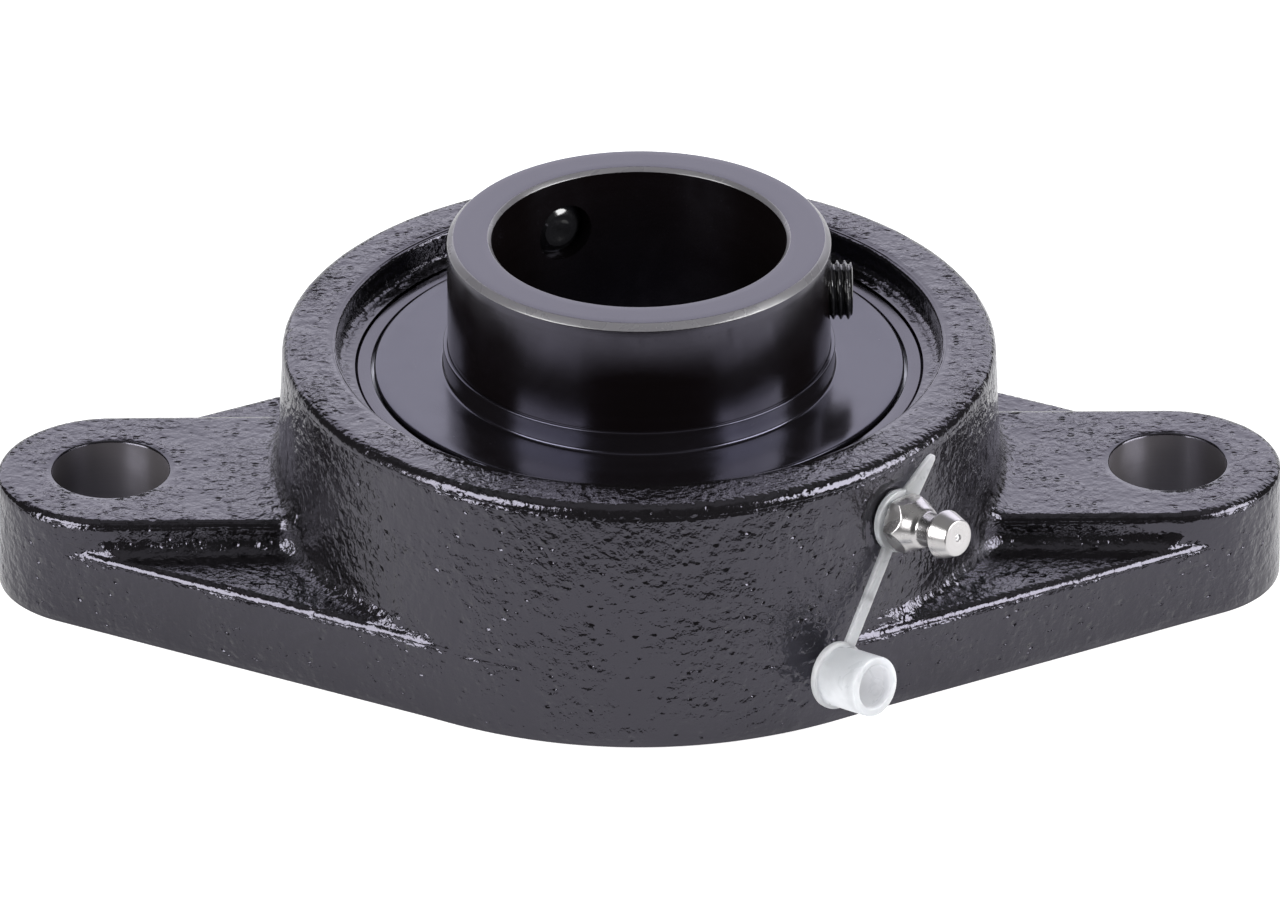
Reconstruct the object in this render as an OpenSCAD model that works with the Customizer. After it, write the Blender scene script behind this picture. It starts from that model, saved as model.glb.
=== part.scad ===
// Flange bearing with two bolt holes: a cast housing with a self-aligning ball bearing,
// two set screws, a grease nipple and its tethered dust cap.
// The mounting face is z = 0, the shaft axis is Z and the bolt holes lie along X.

/* [Bearing insert] */
// Diameter of the shaft bore
bore_d = 40; // [38:0.5:42]
// Diameter of the ball-shaped outside of the outer ring
outer_d = 80; // [76:0.5:88]
// Width of the outer ring
outer_w = 21; // [18:0.5:25]
// Inner ring, from the bearing centre to the screw end
inner_front = 30.2; // [28:0.1:34]
// Inner ring, from the bearing centre to the plain end
inner_rear = 19; // [17:0.5:20]
// Height of the bearing centre above the mounting face
centre_h = 21; // [20.5:0.5:25]
// Diameter of each ball
ball_d = 12; // [10:0.1:12.6]
// Height of the shoulders beside the ball tracks
shoulder_h = 2; // [1.6:0.1:2.4]
// Chamfer on the outer edges of the inner ring
ring_chamfer = 0.8; // [0.4:0.1:1.2]
// Chamfer at the ends of the bore
bore_chamfer = 0.5; // [0.2:0.1:1]

/* [Cage and seals] */
// Thickness of the cage sheet
cage_t = 0.9; // [0.6:0.1:1]
// Width of the cage band across its two rims
cage_w = 4.4; // [3.6:0.1:5]
// Diameter of the cage rivets
rivet_d = 1.8; // [1.4:0.1:2.2]
// Step from the outer ring's shoulder to the seal seat
seal_step = 2.4; // [2:0.1:2.8]
// Thickness of the steel seal core
core_t = 0.6; // [0.4:0.1:0.8]
// Thickness of the rubber under the core
rubber_t = 0.7; // [0.5:0.1:0.8]
// Thickness of the slinger sheet
slinger_t = 0.6; // [0.4:0.1:0.8]
// Height of the slinger collar above its disc
slinger_collar = 3.2; // [2:0.1:4]

/* [Housing] */
// Distance between the two bolt holes
bolt_spacing = 144; // [138:1:156]
// Diameter of each bolt hole
bolt_hole_d = 16; // [13:0.5:18]
// Wall around each bolt hole
lobe_wall = 7.5; // [6:0.5:9]
// Thickness of the arms at the bolt holes
arm_h = 16; // [14:0.5:18]
// Thickness of the base plate beside the arms
plate_h = 11.5; // [9:0.5:13]
// Rounding along the top edges of plate and arms
edge_r = 1.5; // [0.8:0.1:2]
// Depth of the recess around the outer ring
recess_depth = 3.8; // [2.5:0.1:5]
// Width of the boss rim around the recess
rim_w = 7.4; // [6.5:0.1:9]
// Rounding of the boss rim on the outside
rim_r = 2.5; // [1:0.1:3]
// Draft of the boss wall in degrees
draft = 2.5; // [1:0.1:4]
// Fillet where boss and arms rise from the plate
foot_r = 2.5; // [1:0.1:3]
// Chamfer at both ends of the bolt holes
hole_chamfer = 0.4; // [0.2:0.1:1]

/* [Set screws] */
// Thread diameter of the set screws
screw_d = 8; // [6:0.5:8]
// Thread pitch of the set screws
screw_pitch = 1; // [0.75:0.25:1.25]
// Length of the set screws
screw_len = 8; // [7:0.5:10]
// Distance of the screws from the end of the inner ring
screw_end = 8.4; // [7:0.1:9]
// Angle between the two screws
screw_angle = 120; // [60:5:120]
// Key size of the screw sockets
socket_af = 4; // [2.5:0.5:4]

/* [Grease nipple] */
// Direction of the nipple around the shaft axis
nipple_azimuth = -46; // [-60:1:-40]
// Upward tilt of the nipple in degrees
nipple_tilt = 8; // [4:1:10]
// Height of the grease groove above the bearing centre
groove_up = 4.2; // [3:0.1:4.8]
// Thread diameter of the nipple
nipple_thread = 6; // [5:0.5:6]
// Key size of the nipple hexagon
nipple_af = 7; // [6.5:0.5:8]
// Height of the hexagon
nipple_hex_h = 3.5; // [2.5:0.1:4]
// Diameter of the nipple head
head_d = 6.2; // [6:0.1:6.5]
// Length of neck and head above the hexagon
head_len = 7; // [6.5:0.1:7.5]
// Diameter of the check ball
check_ball_d = 2; // [1.6:0.1:2.4]

/* [Dust cap] */
// Thickness of the cap ring and strap
cap_t = 1; // [0.8:0.1:1.2]
// Outside diameter of the cap ring
cap_ring_d = 8.7; // [8.2:0.1:9.4]
// Room between the nipple tip and the closed cup
tip_room = 0.25; // [0.2:0.05:1]
// Width of the strap
strap_w = 2; // [1.4:0.1:2.6]
// Angle of the strap from straight down
strap_angle = 39; // [30:1:60]
// Wall of the cup
cup_wall = 0.75; // [0.6:0.05:1]
// Gap between the hexagon and the mouth of the closed cup
mouth_gap = 0.45; // [0.3:0.05:1]
// Overhang of the flange at the closed end of the cup
cup_flange = 0.5; // [0.2:0.05:0.6]
// Length of the pull tab
tab_len = 6.2; // [5:0.1:8]

/* [Hidden] */
$fn = 96;

// Small overlap that lets a cut pass its surface
eps = 0.05;

// Ball set and tracks
ball_count = 9;
ball_play = 0.02;
track_open = 0.2;
pitch_r = (bore_d + outer_d) / 4;
track_r = ball_d / 2 + track_open;
inner_track_c = pitch_r - ball_d / 2 - ball_play + track_r;
outer_track_c = pitch_r + ball_d / 2 + ball_play - track_r;
inner_land_r = pitch_r - ball_d / 2 + shoulder_h;
outer_land_r = pitch_r + ball_d / 2 - shoulder_h;
ball_step = 360 / ball_count;

// Cage
pocket_play = 0.15;
pocket_r = ball_d / 2 + pocket_play;
cage_top = pocket_r + cage_t;
rivet_head_d = 1.6 * rivet_d;
rivet_head_h = 0.6;

// Seals and slingers, measured from the bearing centre: the seal clears the cage,
// and what stands between seal and slinger shares their room
slinger_sink = 0.1;
slinger_in = outer_w / 2 - slinger_sink;
slinger_gap = 0.4;
seal_gap = 0.35;
lip_gap = 0.08;
crimp = 0.4;
seal_seat_r = outer_land_r + seal_step;
slinger_r = seal_seat_r - slinger_gap;
seal_low = cage_top + seal_gap;
core_low = seal_low + rubber_t;
core_top = core_low + core_t;
core_room = slinger_in - core_top;
lip_share = 9 / 17;
crest_share = 4 / 17;
slinger_lip = lip_share * core_room;
lip_top = slinger_in - lip_share * core_room;
lip_w = 2;
core_r = seal_seat_r + crimp;
core_in_r = inner_land_r + lip_w;
crest_w = 2;
crest_t = crest_share * core_room;

// Outer ring
outer_r = outer_d / 2;
outer_chamfer = 0.4;
face_r = sqrt(outer_r * outer_r - outer_w * outer_w / 4);
groove_w = 4;
groove_depth = 0.8;
oil_hole_d = 1.6;
oil_hole_up = groove_up + 0.3 * groove_w;

// Housing
seat_play = 0.05;
seat_r = outer_r + seat_play;
recess_step = 0.95;
recess_r = seat_r + recess_step;
seat_over = 0.2;
seat_under = 0.6;
recess_floor = centre_h + outer_w / 2 + seat_over;
rear_depth = centre_h - outer_w / 2 - seat_under;
boss_h = recess_floor + recess_depth;
boss_r = recess_r + rim_w;
rim_inner_r = 0.8;
recess_fillet = 1;
boss_foot = boss_r + boss_h * tan(draft);
plate_ledge = 0.06;
waist_r = boss_foot + plate_ledge;
lobe_r = bolt_hole_d / 2 + lobe_wall;
half_spacing = bolt_spacing / 2;
edge_steps = 3;
edge_fn = 32;
edge_skin = 0.02;
flare = asin((waist_r - lobe_r) / half_spacing);
slot_play = 0.6;

// Set screws
screw_back = 0.9;
screw_play = 0.05;
screw_land = 0.15;
screw_z = centre_h + inner_front - screw_end;
screw_in_r = bore_d / 2 + screw_back;
thread_depth = 0.54 * screw_pitch;
// Each ridge of the thread: share of the pitch, share of the depth
ridge_form = [[0.1, 0], [0.4, 1], [0.6, 1], [0.9, 0]];
point_d = 0.6 * screw_d;
cup_point_d = 0.35 * screw_d;
socket_depth = 0.5 * screw_len;

// Nipple: its axis starts on the seat at the grease groove and leaves through the boss wall
groove_rho = sqrt(seat_r * seat_r - groove_up * groove_up);
spot_in = 0.15;
spot_rho = boss_r + (boss_h - centre_h - groove_up) * tan(draft) - spot_in;
nipple_run = (spot_rho - groove_rho) / cos(nipple_tilt);
spot_z = centre_h + groove_up + nipple_run * sin(nipple_tilt);
cap_gap = 0.25;
hex_low = 2 * cap_gap + cap_t;
hex_top = hex_low + nipple_hex_h;
tip = hex_top + head_len;
shank_len = 6;
drill_d = 3;
spot_d = cap_ring_d + 2;
neck_d = 0.74 * head_d;
tip_d = 0.75 * head_d;
tip_edge = 0.25;
hex_round_r = 0.95 * nipple_af / 2;
hex_slope = 30;
bevel_r = 0.9 * nipple_af / 2;
bevel_h = 1.1;
neck_h = 1.2;
flare_h = 1.5;
head_flat = 0.5;
passage_play = 0.1;
passage_d = check_ball_d + 2 * passage_play;
ball_under = 0.06;
ball_u = tip - ball_under - check_ball_d / 2;
// The ball rests under a cone of 45 degrees
ball_gap = 0.02;
cone_r = sqrt(2) * (check_ball_d / 2 + ball_gap);
cone_u = ball_u + cone_r - passage_d / 2;
mouth_h = 0.12;
mouth_d = 2 * (cone_r - tip + mouth_h + ball_u);
spring_wire = 0.3;
spring_turns = 6;
spring_len = 5;
spring_play = 0.1;
spring_top = ball_u - check_ball_d / 2 - spring_play;
spring_low = spring_top - spring_len;
spring_r = passage_d / 2 - spring_play - spring_wire / 2;
spring_steps = 16;
spring_sides = 8;
duct_d = 0.6 * passage_d;

// Dust cap, along the nipple axis
cap_play = 0.1;
cup_play = 0.25;
cup_in_d = head_d + 2 * cup_play;
cup_d = cup_in_d + 2 * cup_wall;
flange_d = cup_d + 2 * cup_flange;
cup_h = head_len + tip_room + cap_t - mouth_gap;
strap_len = tip + tip_room - cap_gap;
bend_room = 0.1;
bend_r = flange_d / 2 + cap_t / 2 + bend_room;
bend_bevel = cap_t / 2 + bend_room;
cup_reach = 2 * bend_r + strap_len;
tab_angle = 39;
tab_lift = 12;
tab_from = nipple_thread / 2 + cap_play + cap_t / 2;
tab_root_w = 3.2;
tab_tip_w = 1.6;

// The housing outline, moved in by a distance on all sides
module plate_outline(inset) {
    waist = waist_r - inset;
    lobe = lobe_r - inset;
    circle(r = waist);
    for (side = [-1, 1]) translate([side * half_spacing, 0]) circle(r = lobe);
    polygon([
        [waist * sin(flare), waist * cos(flare)],
        [half_spacing + lobe * sin(flare), lobe * cos(flare)],
        [half_spacing + lobe * sin(flare), -lobe * cos(flare)],
        [waist * sin(flare), -waist * cos(flare)],
        [-waist * sin(flare), -waist * cos(flare)],
        [-half_spacing - lobe * sin(flare), -lobe * cos(flare)],
        [-half_spacing - lobe * sin(flare), lobe * cos(flare)],
        [-waist * sin(flare), waist * cos(flare)]
    ]);
}

// The outline of the two arms, moved in by a distance on all sides
module arm_outline(inset) {
    lobe = lobe_r - inset;
    for (side = [-1, 1]) translate([side * half_spacing, 0]) circle(r = lobe);
    square([bolt_spacing, 2 * lobe], center = true);
}

// The stepped rounding on top of a plate: each layer is the outline, moved further in
module rounded_top(h, arm) {
    hull() for (i = [0:edge_steps])
        translate([0, 0, h - edge_r - eps + edge_r * sin(i * 90 / edge_steps)])
            linear_extrude(eps)
                if (arm) arm_outline(edge_skin + edge_r * (1 - cos(i * 90 / edge_steps)), $fn = edge_fn);
                else plate_outline(edge_skin + edge_r * (1 - cos(i * 90 / edge_steps)), $fn = edge_fn);
}

module base_plate() {
    linear_extrude(plate_h - edge_r) plate_outline(0);
    rounded_top(plate_h, false);
}

module arms() {
    linear_extrude(arm_h - edge_r) arm_outline(0);
    rounded_top(arm_h, true);
}

// The fillets along the long sides of the arms, where they rise from the plate
module arm_fillets() {
    for (side = [-1, 1]) intersection() {
        linear_extrude(arm_h) plate_outline(edge_r);
        translate([-half_spacing, side * (lobe_r - eps), plate_h - eps])
            mirror([0, side < 0 ? 1 : 0, 0]) rotate([90, 0, 90]) linear_extrude(bolt_spacing) difference() {
                square(foot_r + eps);
                translate([foot_r + eps, foot_r + eps]) circle(r = foot_r);
            }
    }
}

// The boss wall radius at a height
function wall_r(z) = boss_r + (boss_h - z) * tan(draft);

// The boss section without its hollow, with a fillet where it leaves a flat of a given height
module boss_section(flat_h) {
    rim_c = boss_r - rim_r;
    difference() {
        union() {
            polygon([
                [0, 0], [boss_foot, 0], [wall_r(boss_h - rim_r), boss_h - rim_r],
                [rim_c, boss_h - rim_r], [rim_c, boss_h], [0, boss_h]
            ]);
            intersection() {
                translate([rim_c, boss_h - rim_r]) circle(r = rim_r);
                translate([rim_c, boss_h - rim_r]) square(rim_r);
            }
            translate([0, flat_h - eps]) square([wall_r(flat_h) + foot_r, foot_r + eps]);
        }
        translate([wall_r(flat_h + foot_r) + foot_r, flat_h + foot_r]) circle(r = foot_r);
        translate([wall_r(flat_h + foot_r), flat_h + foot_r]) square([2 * foot_r, foot_r]);
    }
}

module boss() {
    intersection() {
        rotate_extrude() boss_section(plate_h);
        linear_extrude(boss_h) plate_outline(edge_r);
    }
    intersection() {
        rotate_extrude() boss_section(arm_h);
        linear_extrude(boss_h) arm_outline(edge_r);
    }
    rotate_extrude() polygon([
        [0, 0], [boss_foot, 0], [wall_r(boss_h - rim_r), boss_h - rim_r], [0, boss_h - rim_r]
    ]);
}

// Everything that is cut from the casting around the shaft axis
module housing_hollow() {
    translate([0, 0, centre_h]) sphere(r = seat_r);
    translate([0, 0, recess_floor]) rotate_extrude() union() {
        square([recess_r - recess_fillet, recess_depth + eps]);
        translate([0, recess_fillet]) square([recess_r, recess_depth - recess_fillet + eps]);
        intersection() {
            translate([recess_r - recess_fillet, recess_fillet]) circle(r = recess_fillet);
            square([recess_r, recess_fillet]);
        }
        difference() {
            translate([recess_r - eps, recess_depth - rim_inner_r]) square(rim_inner_r + eps);
            translate([recess_r + rim_inner_r, recess_depth - rim_inner_r]) circle(r = rim_inner_r);
        }
    }
    translate([0, 0, -eps]) cylinder(r = recess_r, h = rear_depth + eps);
    intersection() {
        translate([0, 0, -eps]) cylinder(r = seat_r, h = centre_h + eps);
        translate([0, 0, centre_h / 2])
            cube([2 * waist_r, outer_w + slot_play, centre_h + 2 * eps], center = true);
    }
}

module bolt_hole() {
    translate([0, 0, -eps]) cylinder(d = bolt_hole_d, h = arm_h + 2 * eps);
    translate([0, 0, arm_h - hole_chamfer])
        cylinder(r1 = bolt_hole_d / 2, r2 = bolt_hole_d / 2 + hole_chamfer + eps, h = hole_chamfer + eps);
    translate([0, 0, -eps])
        cylinder(r1 = bolt_hole_d / 2 + hole_chamfer + eps, r2 = bolt_hole_d / 2, h = hole_chamfer + eps);
}

// Moves what is drawn along Z to the nipple axis, with z = 0 on the spot face of the boss
module at_nipple() {
    translate([spot_rho * cos(nipple_azimuth), spot_rho * sin(nipple_azimuth), spot_z])
        rotate([0, 90 - nipple_tilt, nipple_azimuth])
            children();
}

module housing() {
    color([0.1, 0.1, 0.11]) difference() {
        union() {
            base_plate();
            arms();
            arm_fillets();
            boss();
        }
        housing_hollow();
        for (side = [-1, 1]) translate([side * half_spacing, 0, 0]) bolt_hole();
        at_nipple() {
            cylinder(d = spot_d, h = 2 * spot_d);
            translate([0, 0, -shank_len]) cylinder(d = nipple_thread, h = shank_len + eps);
            translate([0, 0, -nipple_run - foot_r]) cylinder(d = drill_d, h = nipple_run + foot_r);
        }
    }
}

module outer_ring() {
    color([0.3, 0.3, 0.33]) translate([0, 0, centre_h]) difference() {
        rotate_extrude() difference() {
            intersection() {
                circle(r = outer_r);
                polygon([
                    [outer_land_r, -outer_w / 2],
                    [face_r - outer_chamfer, -outer_w / 2],
                    [outer_r + eps, -outer_w / 2 + outer_r + eps - face_r + outer_chamfer],
                    [outer_r + eps, outer_w / 2 - outer_r - eps + face_r - outer_chamfer],
                    [face_r - outer_chamfer, outer_w / 2],
                    [outer_land_r, outer_w / 2]
                ]);
            }
            translate([outer_track_c, 0]) circle(r = track_r);
            for (side = [-1, 1]) mirror([0, side < 0 ? 1 : 0]) {
                translate([outer_land_r - eps, seal_low]) square([seal_step + eps, outer_w]);
                translate([outer_land_r, core_low]) square([seal_step + crimp, core_t]);
            }
            translate([groove_rho - groove_depth, groove_up - groove_w / 2])
                square([outer_r, groove_w]);
        }
        for (turn = [0, 180]) rotate([0, 0, turn])
            translate([pitch_r, 0, oil_hole_up]) rotate([0, 90, 0]) cylinder(d = oil_hole_d, h = outer_r);
    }
}

module inner_ring() {
    color([0.12, 0.12, 0.13]) translate([0, 0, centre_h]) difference() {
        rotate_extrude() difference() {
            polygon([
                [bore_d / 2 + bore_chamfer, -inner_rear],
                [inner_land_r - ring_chamfer, -inner_rear],
                [inner_land_r, -inner_rear + ring_chamfer],
                [inner_land_r, inner_front - ring_chamfer],
                [inner_land_r - ring_chamfer, inner_front],
                [bore_d / 2 + bore_chamfer, inner_front],
                [bore_d / 2, inner_front - bore_chamfer],
                [bore_d / 2, -inner_rear + bore_chamfer]
            ]);
            translate([inner_track_c, 0]) circle(r = track_r);
        }
        for (turn = [0, screw_angle]) rotate([0, 0, turn])
            translate([bore_d / 4, 0, inner_front - screw_end])
                rotate([0, 90, 0]) cylinder(r = screw_d / 2 + screw_play, h = bore_d);
    }
}

module ball(index) {
    color([0.85, 0.85, 0.87]) rotate([0, 0, index * ball_step])
        translate([pitch_r, 0, centre_h]) sphere(d = ball_d);
}

// One half of the cage above the plane of the ball centres
module cage_half() {
    difference() {
        intersection() {
            difference() {
                cylinder(r = pitch_r + cage_w / 2, h = cage_top);
                translate([0, 0, -eps]) cylinder(r = pitch_r - cage_w / 2, h = cage_top + 2 * eps);
            }
            union() {
                cylinder(r = outer_land_r, h = cage_t);
                for (i = [0:ball_count - 1]) rotate([0, 0, i * ball_step])
                    translate([pitch_r, 0, 0]) sphere(r = cage_top);
            }
        }
        for (i = [0:ball_count - 1]) rotate([0, 0, i * ball_step])
            translate([pitch_r, 0, 0]) sphere(r = pocket_r);
        for (i = [0:ball_count - 1]) rotate([0, 0, (i + 0.5) * ball_step])
            translate([pitch_r, 0, -eps]) cylinder(d = rivet_d, h = cage_top);
    }
}

module cage_front() {
    color([0.6, 0.6, 0.62]) translate([0, 0, centre_h]) cage_half();
}

module cage_rear() {
    color([0.6, 0.6, 0.62]) translate([0, 0, centre_h]) mirror([0, 0, 1]) cage_half();
}

module cage_rivets() {
    color([0.75, 0.75, 0.77]) translate([0, 0, centre_h])
        for (i = [0:ball_count - 1]) rotate([0, 0, (i + 0.5) * ball_step]) translate([pitch_r, 0, 0]) {
            translate([0, 0, -cage_t]) cylinder(d = rivet_d, h = 2 * cage_t);
            for (side = [0, 1]) mirror([0, 0, side])
                translate([0, 0, cage_t]) cylinder(d = rivet_head_d, h = rivet_head_h);
        }
}

// Places a ring that is drawn on the front side at the front or at the rear
module bearing_side(rear) {
    translate([0, 0, centre_h]) mirror([0, 0, rear ? 1 : 0]) children();
}

module seal_core() {
    color([0.55, 0.56, 0.58]) rotate_extrude()
        translate([core_in_r, core_low]) square([core_r - core_in_r, core_t]);
}

module seal_lip() {
    color([0.09, 0.09, 0.09]) rotate_extrude() union() {
        translate([core_in_r - eps, seal_low]) square([seal_seat_r - core_in_r + eps, rubber_t]);
        translate([inner_land_r + lip_gap, seal_low]) square([lip_w - lip_gap, lip_top - seal_low]);
        translate([core_in_r - eps, core_top]) square([crest_w + eps, crest_t]);
    }
}

module slinger() {
    color([0.14, 0.14, 0.15]) rotate_extrude() union() {
        translate([inner_land_r, slinger_in]) square([slinger_r - inner_land_r, slinger_t]);
        translate([inner_land_r, slinger_in]) square([slinger_t, slinger_t + slinger_collar]);
        translate([slinger_r - slinger_t, slinger_in - slinger_lip])
            square([slinger_t, slinger_lip + slinger_t]);
    }
}

// A set screw along Z: cup point at z = 0, socket at the far end, ridges of the thread between
module set_screw() {
    root = screw_d / 2 - thread_depth;
    point = point_d / 2;
    ridges = floor((screw_len - screw_land - root + point) / screw_pitch);
    first = screw_len - screw_land - ridges * screw_pitch;
    color([0.13, 0.13, 0.14]) difference() {
        rotate_extrude() polygon(concat(
            [[0, 0], [point, 0], [root, root - point]],
            [for (i = [0:ridges - 1], spot = ridge_form)
                [root + spot[1] * thread_depth, first + (i + spot[0]) * screw_pitch]],
            [[root, screw_len], [0, screw_len]]
        ));
        translate([0, 0, -eps])
            cylinder(r1 = cup_point_d / 2 + eps, r2 = 0, h = cup_point_d / 2 + eps);
        translate([0, 0, screw_len - socket_depth])
            cylinder(d = socket_af / cos(30), h = socket_depth + eps, $fn = 6);
    }
}

// Places a set screw in the inner ring
module at_screw(turn) {
    rotate([0, 0, turn]) translate([screw_in_r, 0, screw_z]) rotate([0, 90, 0]) children();
}

module grease_nipple() {
    color([0.78, 0.76, 0.74]) at_nipple() difference() {
        union() {
            translate([0, 0, -shank_len]) cylinder(d = nipple_thread, h = shank_len + hex_low + eps);
            intersection() {
                translate([0, 0, hex_low]) cylinder(d = nipple_af / cos(30), h = nipple_hex_h, $fn = 6);
                translate([0, 0, hex_low - nipple_af])
                    cylinder(r1 = hex_round_r + (nipple_hex_h + nipple_af) / tan(hex_slope),
                             r2 = hex_round_r, h = nipple_hex_h + nipple_af);
            }
            rotate_extrude() polygon([
                [0, hex_top - eps],
                [bevel_r, hex_top - eps],
                [bevel_r, hex_top],
                [neck_d / 2, hex_top + bevel_h],
                [neck_d / 2, hex_top + bevel_h + neck_h],
                [head_d / 2, hex_top + bevel_h + neck_h + flare_h],
                [head_d / 2, hex_top + bevel_h + neck_h + flare_h + head_flat],
                [tip_d / 2 + tip_edge, tip - tip_edge],
                [tip_d / 2, tip],
                [0, tip]
            ]);
        }
        translate([0, 0, spring_low - spring_play])
            cylinder(d = passage_d, h = cone_u - spring_low + spring_play);
        translate([0, 0, cone_u - eps])
            cylinder(d1 = passage_d + 2 * eps, d2 = mouth_d, h = tip - mouth_h - cone_u + eps);
        translate([0, 0, tip - mouth_h - eps]) cylinder(d = mouth_d, h = mouth_h + 2 * eps);
        translate([0, 0, -shank_len - eps]) cylinder(d = duct_d, h = shank_len + spring_low);
    }
}

module nipple_check_ball() {
    color([0.85, 0.85, 0.87]) at_nipple() translate([0, 0, ball_u]) sphere(d = check_ball_d);
}

// One point of the spring wire's skin
function spring_point(i, j) =
    let (turn = 360 * i / spring_steps,
         rise = (spring_len - spring_wire) * i / (spring_turns * spring_steps),
         angle = 360 * j / spring_sides,
         r = spring_r + spring_wire / 2 * cos(angle))
    [r * cos(turn), r * sin(turn), spring_low + spring_wire / 2 + rise + spring_wire / 2 * sin(angle)];

module nipple_spring() {
    rings = spring_turns * spring_steps;
    n = spring_sides;
    color([0.7, 0.7, 0.72]) at_nipple() polyhedron(
        points = [for (i = [0:rings], j = [0:n - 1]) spring_point(i, j)],
        faces = concat(
            [[for (j = [0:n - 1]) j]],
            [for (i = [0:rings - 1], j = [0:n - 1])
                [i * n + j, (i + 1) * n + j, i * n + (j + 1) % n]],
            [for (i = [0:rings - 1], j = [0:n - 1])
                [i * n + (j + 1) % n, (i + 1) * n + j, (i + 1) * n + (j + 1) % n]],
            [[for (j = [n - 1:-1:0]) rings * n + j]]
        )
    );
}

// Turns what is drawn along +X into the direction of the strap
module along_strap() {
    at_nipple() rotate([0, 0, -strap_angle]) translate([0, 0, cap_gap]) children();
}

// A length of strap from one place along +X to another, bevelled on the side that a bend closes
module strap_piece(from, to, from_bevel, to_bevel) {
    translate([0, strap_w / 2, 0]) rotate([90, 0, 0]) linear_extrude(strap_w) polygon([
        [from, 0], [to, 0], [to, cap_t / 2], [to - to_bevel, cap_t],
        [from + from_bevel, cap_t], [from, cap_t / 2]
    ]);
}

module dust_cap_ring() {
    color([0.86, 0.88, 0.9]) along_strap() difference() {
        union() {
            cylinder(d = cap_ring_d, h = cap_t);
            rotate([0, 0, 180 + strap_angle - tab_angle]) translate([tab_from, 0, 0])
                rotate([0, -tab_lift, 0]) linear_extrude(cap_t) polygon([
                    [0, -tab_root_w / 2], [tab_len, -tab_tip_w / 2],
                    [tab_len, tab_tip_w / 2], [0, tab_root_w / 2]
                ]);
            strap_piece(0, bend_r, 0, bend_bevel);
        }
        translate([0, 0, -eps]) cylinder(d = nipple_thread + 2 * cap_play, h = cap_t + 2 * eps);
    }
}

module dust_cap_strap() {
    color([0.86, 0.88, 0.9]) along_strap()
        strap_piece(bend_r, bend_r + strap_len, bend_bevel, bend_bevel);
}

module dust_cap_cup() {
    color([0.86, 0.88, 0.9]) along_strap() translate([cup_reach, 0, 0]) difference() {
        union() {
            cylinder(d = flange_d, h = cap_t);
            cylinder(d = cup_d, h = cup_h);
            strap_piece(-bend_r, 0, bend_bevel, 0);
        }
        translate([0, 0, cap_t]) cylinder(d = cup_in_d, h = cup_h);
    }
}

housing();
outer_ring();
inner_ring();
ball(0);  // ball_1
ball(1);  // ball_2
ball(2);  // ball_3
ball(3);  // ball_4
ball(4);  // ball_5
ball(5);  // ball_6
ball(6);  // ball_7
ball(7);  // ball_8
ball(8);  // ball_9
cage_front();
cage_rear();
cage_rivets();
bearing_side(false) seal_core();  // seal_core_front
bearing_side(true) seal_core();  // seal_core_rear
bearing_side(false) seal_lip();  // seal_lip_front
bearing_side(true) seal_lip();  // seal_lip_rear
bearing_side(false) slinger();  // slinger_front
bearing_side(true) slinger();  // slinger_rear
at_screw(0) set_screw();  // set_screw_1
at_screw(screw_angle) set_screw();  // set_screw_2
grease_nipple();
nipple_check_ball();
nipple_spring();
dust_cap_ring();
dust_cap_strap();
dust_cap_cup();
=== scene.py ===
# Looks of a two-bolt flange bearing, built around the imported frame
import math

import bmesh
import bpy
import numpy as np
from mathutils import Euler, Matrix, Vector


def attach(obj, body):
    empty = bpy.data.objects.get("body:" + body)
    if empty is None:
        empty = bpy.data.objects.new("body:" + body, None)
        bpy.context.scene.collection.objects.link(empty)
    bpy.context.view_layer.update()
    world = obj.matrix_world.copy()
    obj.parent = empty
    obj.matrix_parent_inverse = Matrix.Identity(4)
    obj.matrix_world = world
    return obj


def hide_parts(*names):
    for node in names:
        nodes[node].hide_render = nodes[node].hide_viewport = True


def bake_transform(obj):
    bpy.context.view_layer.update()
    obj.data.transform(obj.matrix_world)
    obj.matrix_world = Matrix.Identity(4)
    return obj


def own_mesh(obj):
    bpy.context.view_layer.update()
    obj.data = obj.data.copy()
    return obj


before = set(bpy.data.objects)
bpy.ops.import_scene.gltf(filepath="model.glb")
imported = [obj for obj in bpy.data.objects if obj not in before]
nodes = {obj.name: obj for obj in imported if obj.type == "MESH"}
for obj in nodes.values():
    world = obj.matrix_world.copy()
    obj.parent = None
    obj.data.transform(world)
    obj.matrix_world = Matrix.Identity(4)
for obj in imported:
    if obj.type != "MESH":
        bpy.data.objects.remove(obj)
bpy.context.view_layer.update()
scene = bpy.context.scene
mm = 0.001
print("frame loaded with", len(nodes), "nodes")

# Camera, set from the bolt holes, rings and outline in the photograph
cameraSetup = {
    "yaw": -0.6911,
    "pitch": 28.2713,
    "roll": -0.0823,
    "away": 2.26172,
    "aim": (0, 0, 0.020),
    "lens": 467.34,
    "shiftX": 0.00055,
    "shiftY": -0.0082,
}


def makeCamera(setup):
    yaw, pitch, roll = (math.radians(setup[key]) for key in ("yaw", "pitch", "roll"))
    back = Vector((math.sin(yaw) * math.cos(pitch), -math.cos(yaw) * math.cos(pitch), math.sin(pitch)))
    right = Vector((math.cos(yaw), math.sin(yaw), 0))
    up = back.cross(right)
    side = right * math.cos(roll) + up * math.sin(roll)
    top = up * math.cos(roll) - right * math.sin(roll)
    data = bpy.data.cameras.new("photoCamera")
    data.lens = setup["lens"]
    data.sensor_width = 36
    data.shift_x = setup["shiftX"]
    data.shift_y = setup["shiftY"]
    camera = bpy.data.objects.new("photoCamera", data)
    scene.collection.objects.link(camera)
    turn = Matrix((side, top, back)).transposed().to_4x4()
    camera.matrix_world = Matrix.Translation(Vector(setup["aim"]) + back * setup["away"]) @ turn
    scene.camera = camera


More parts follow.
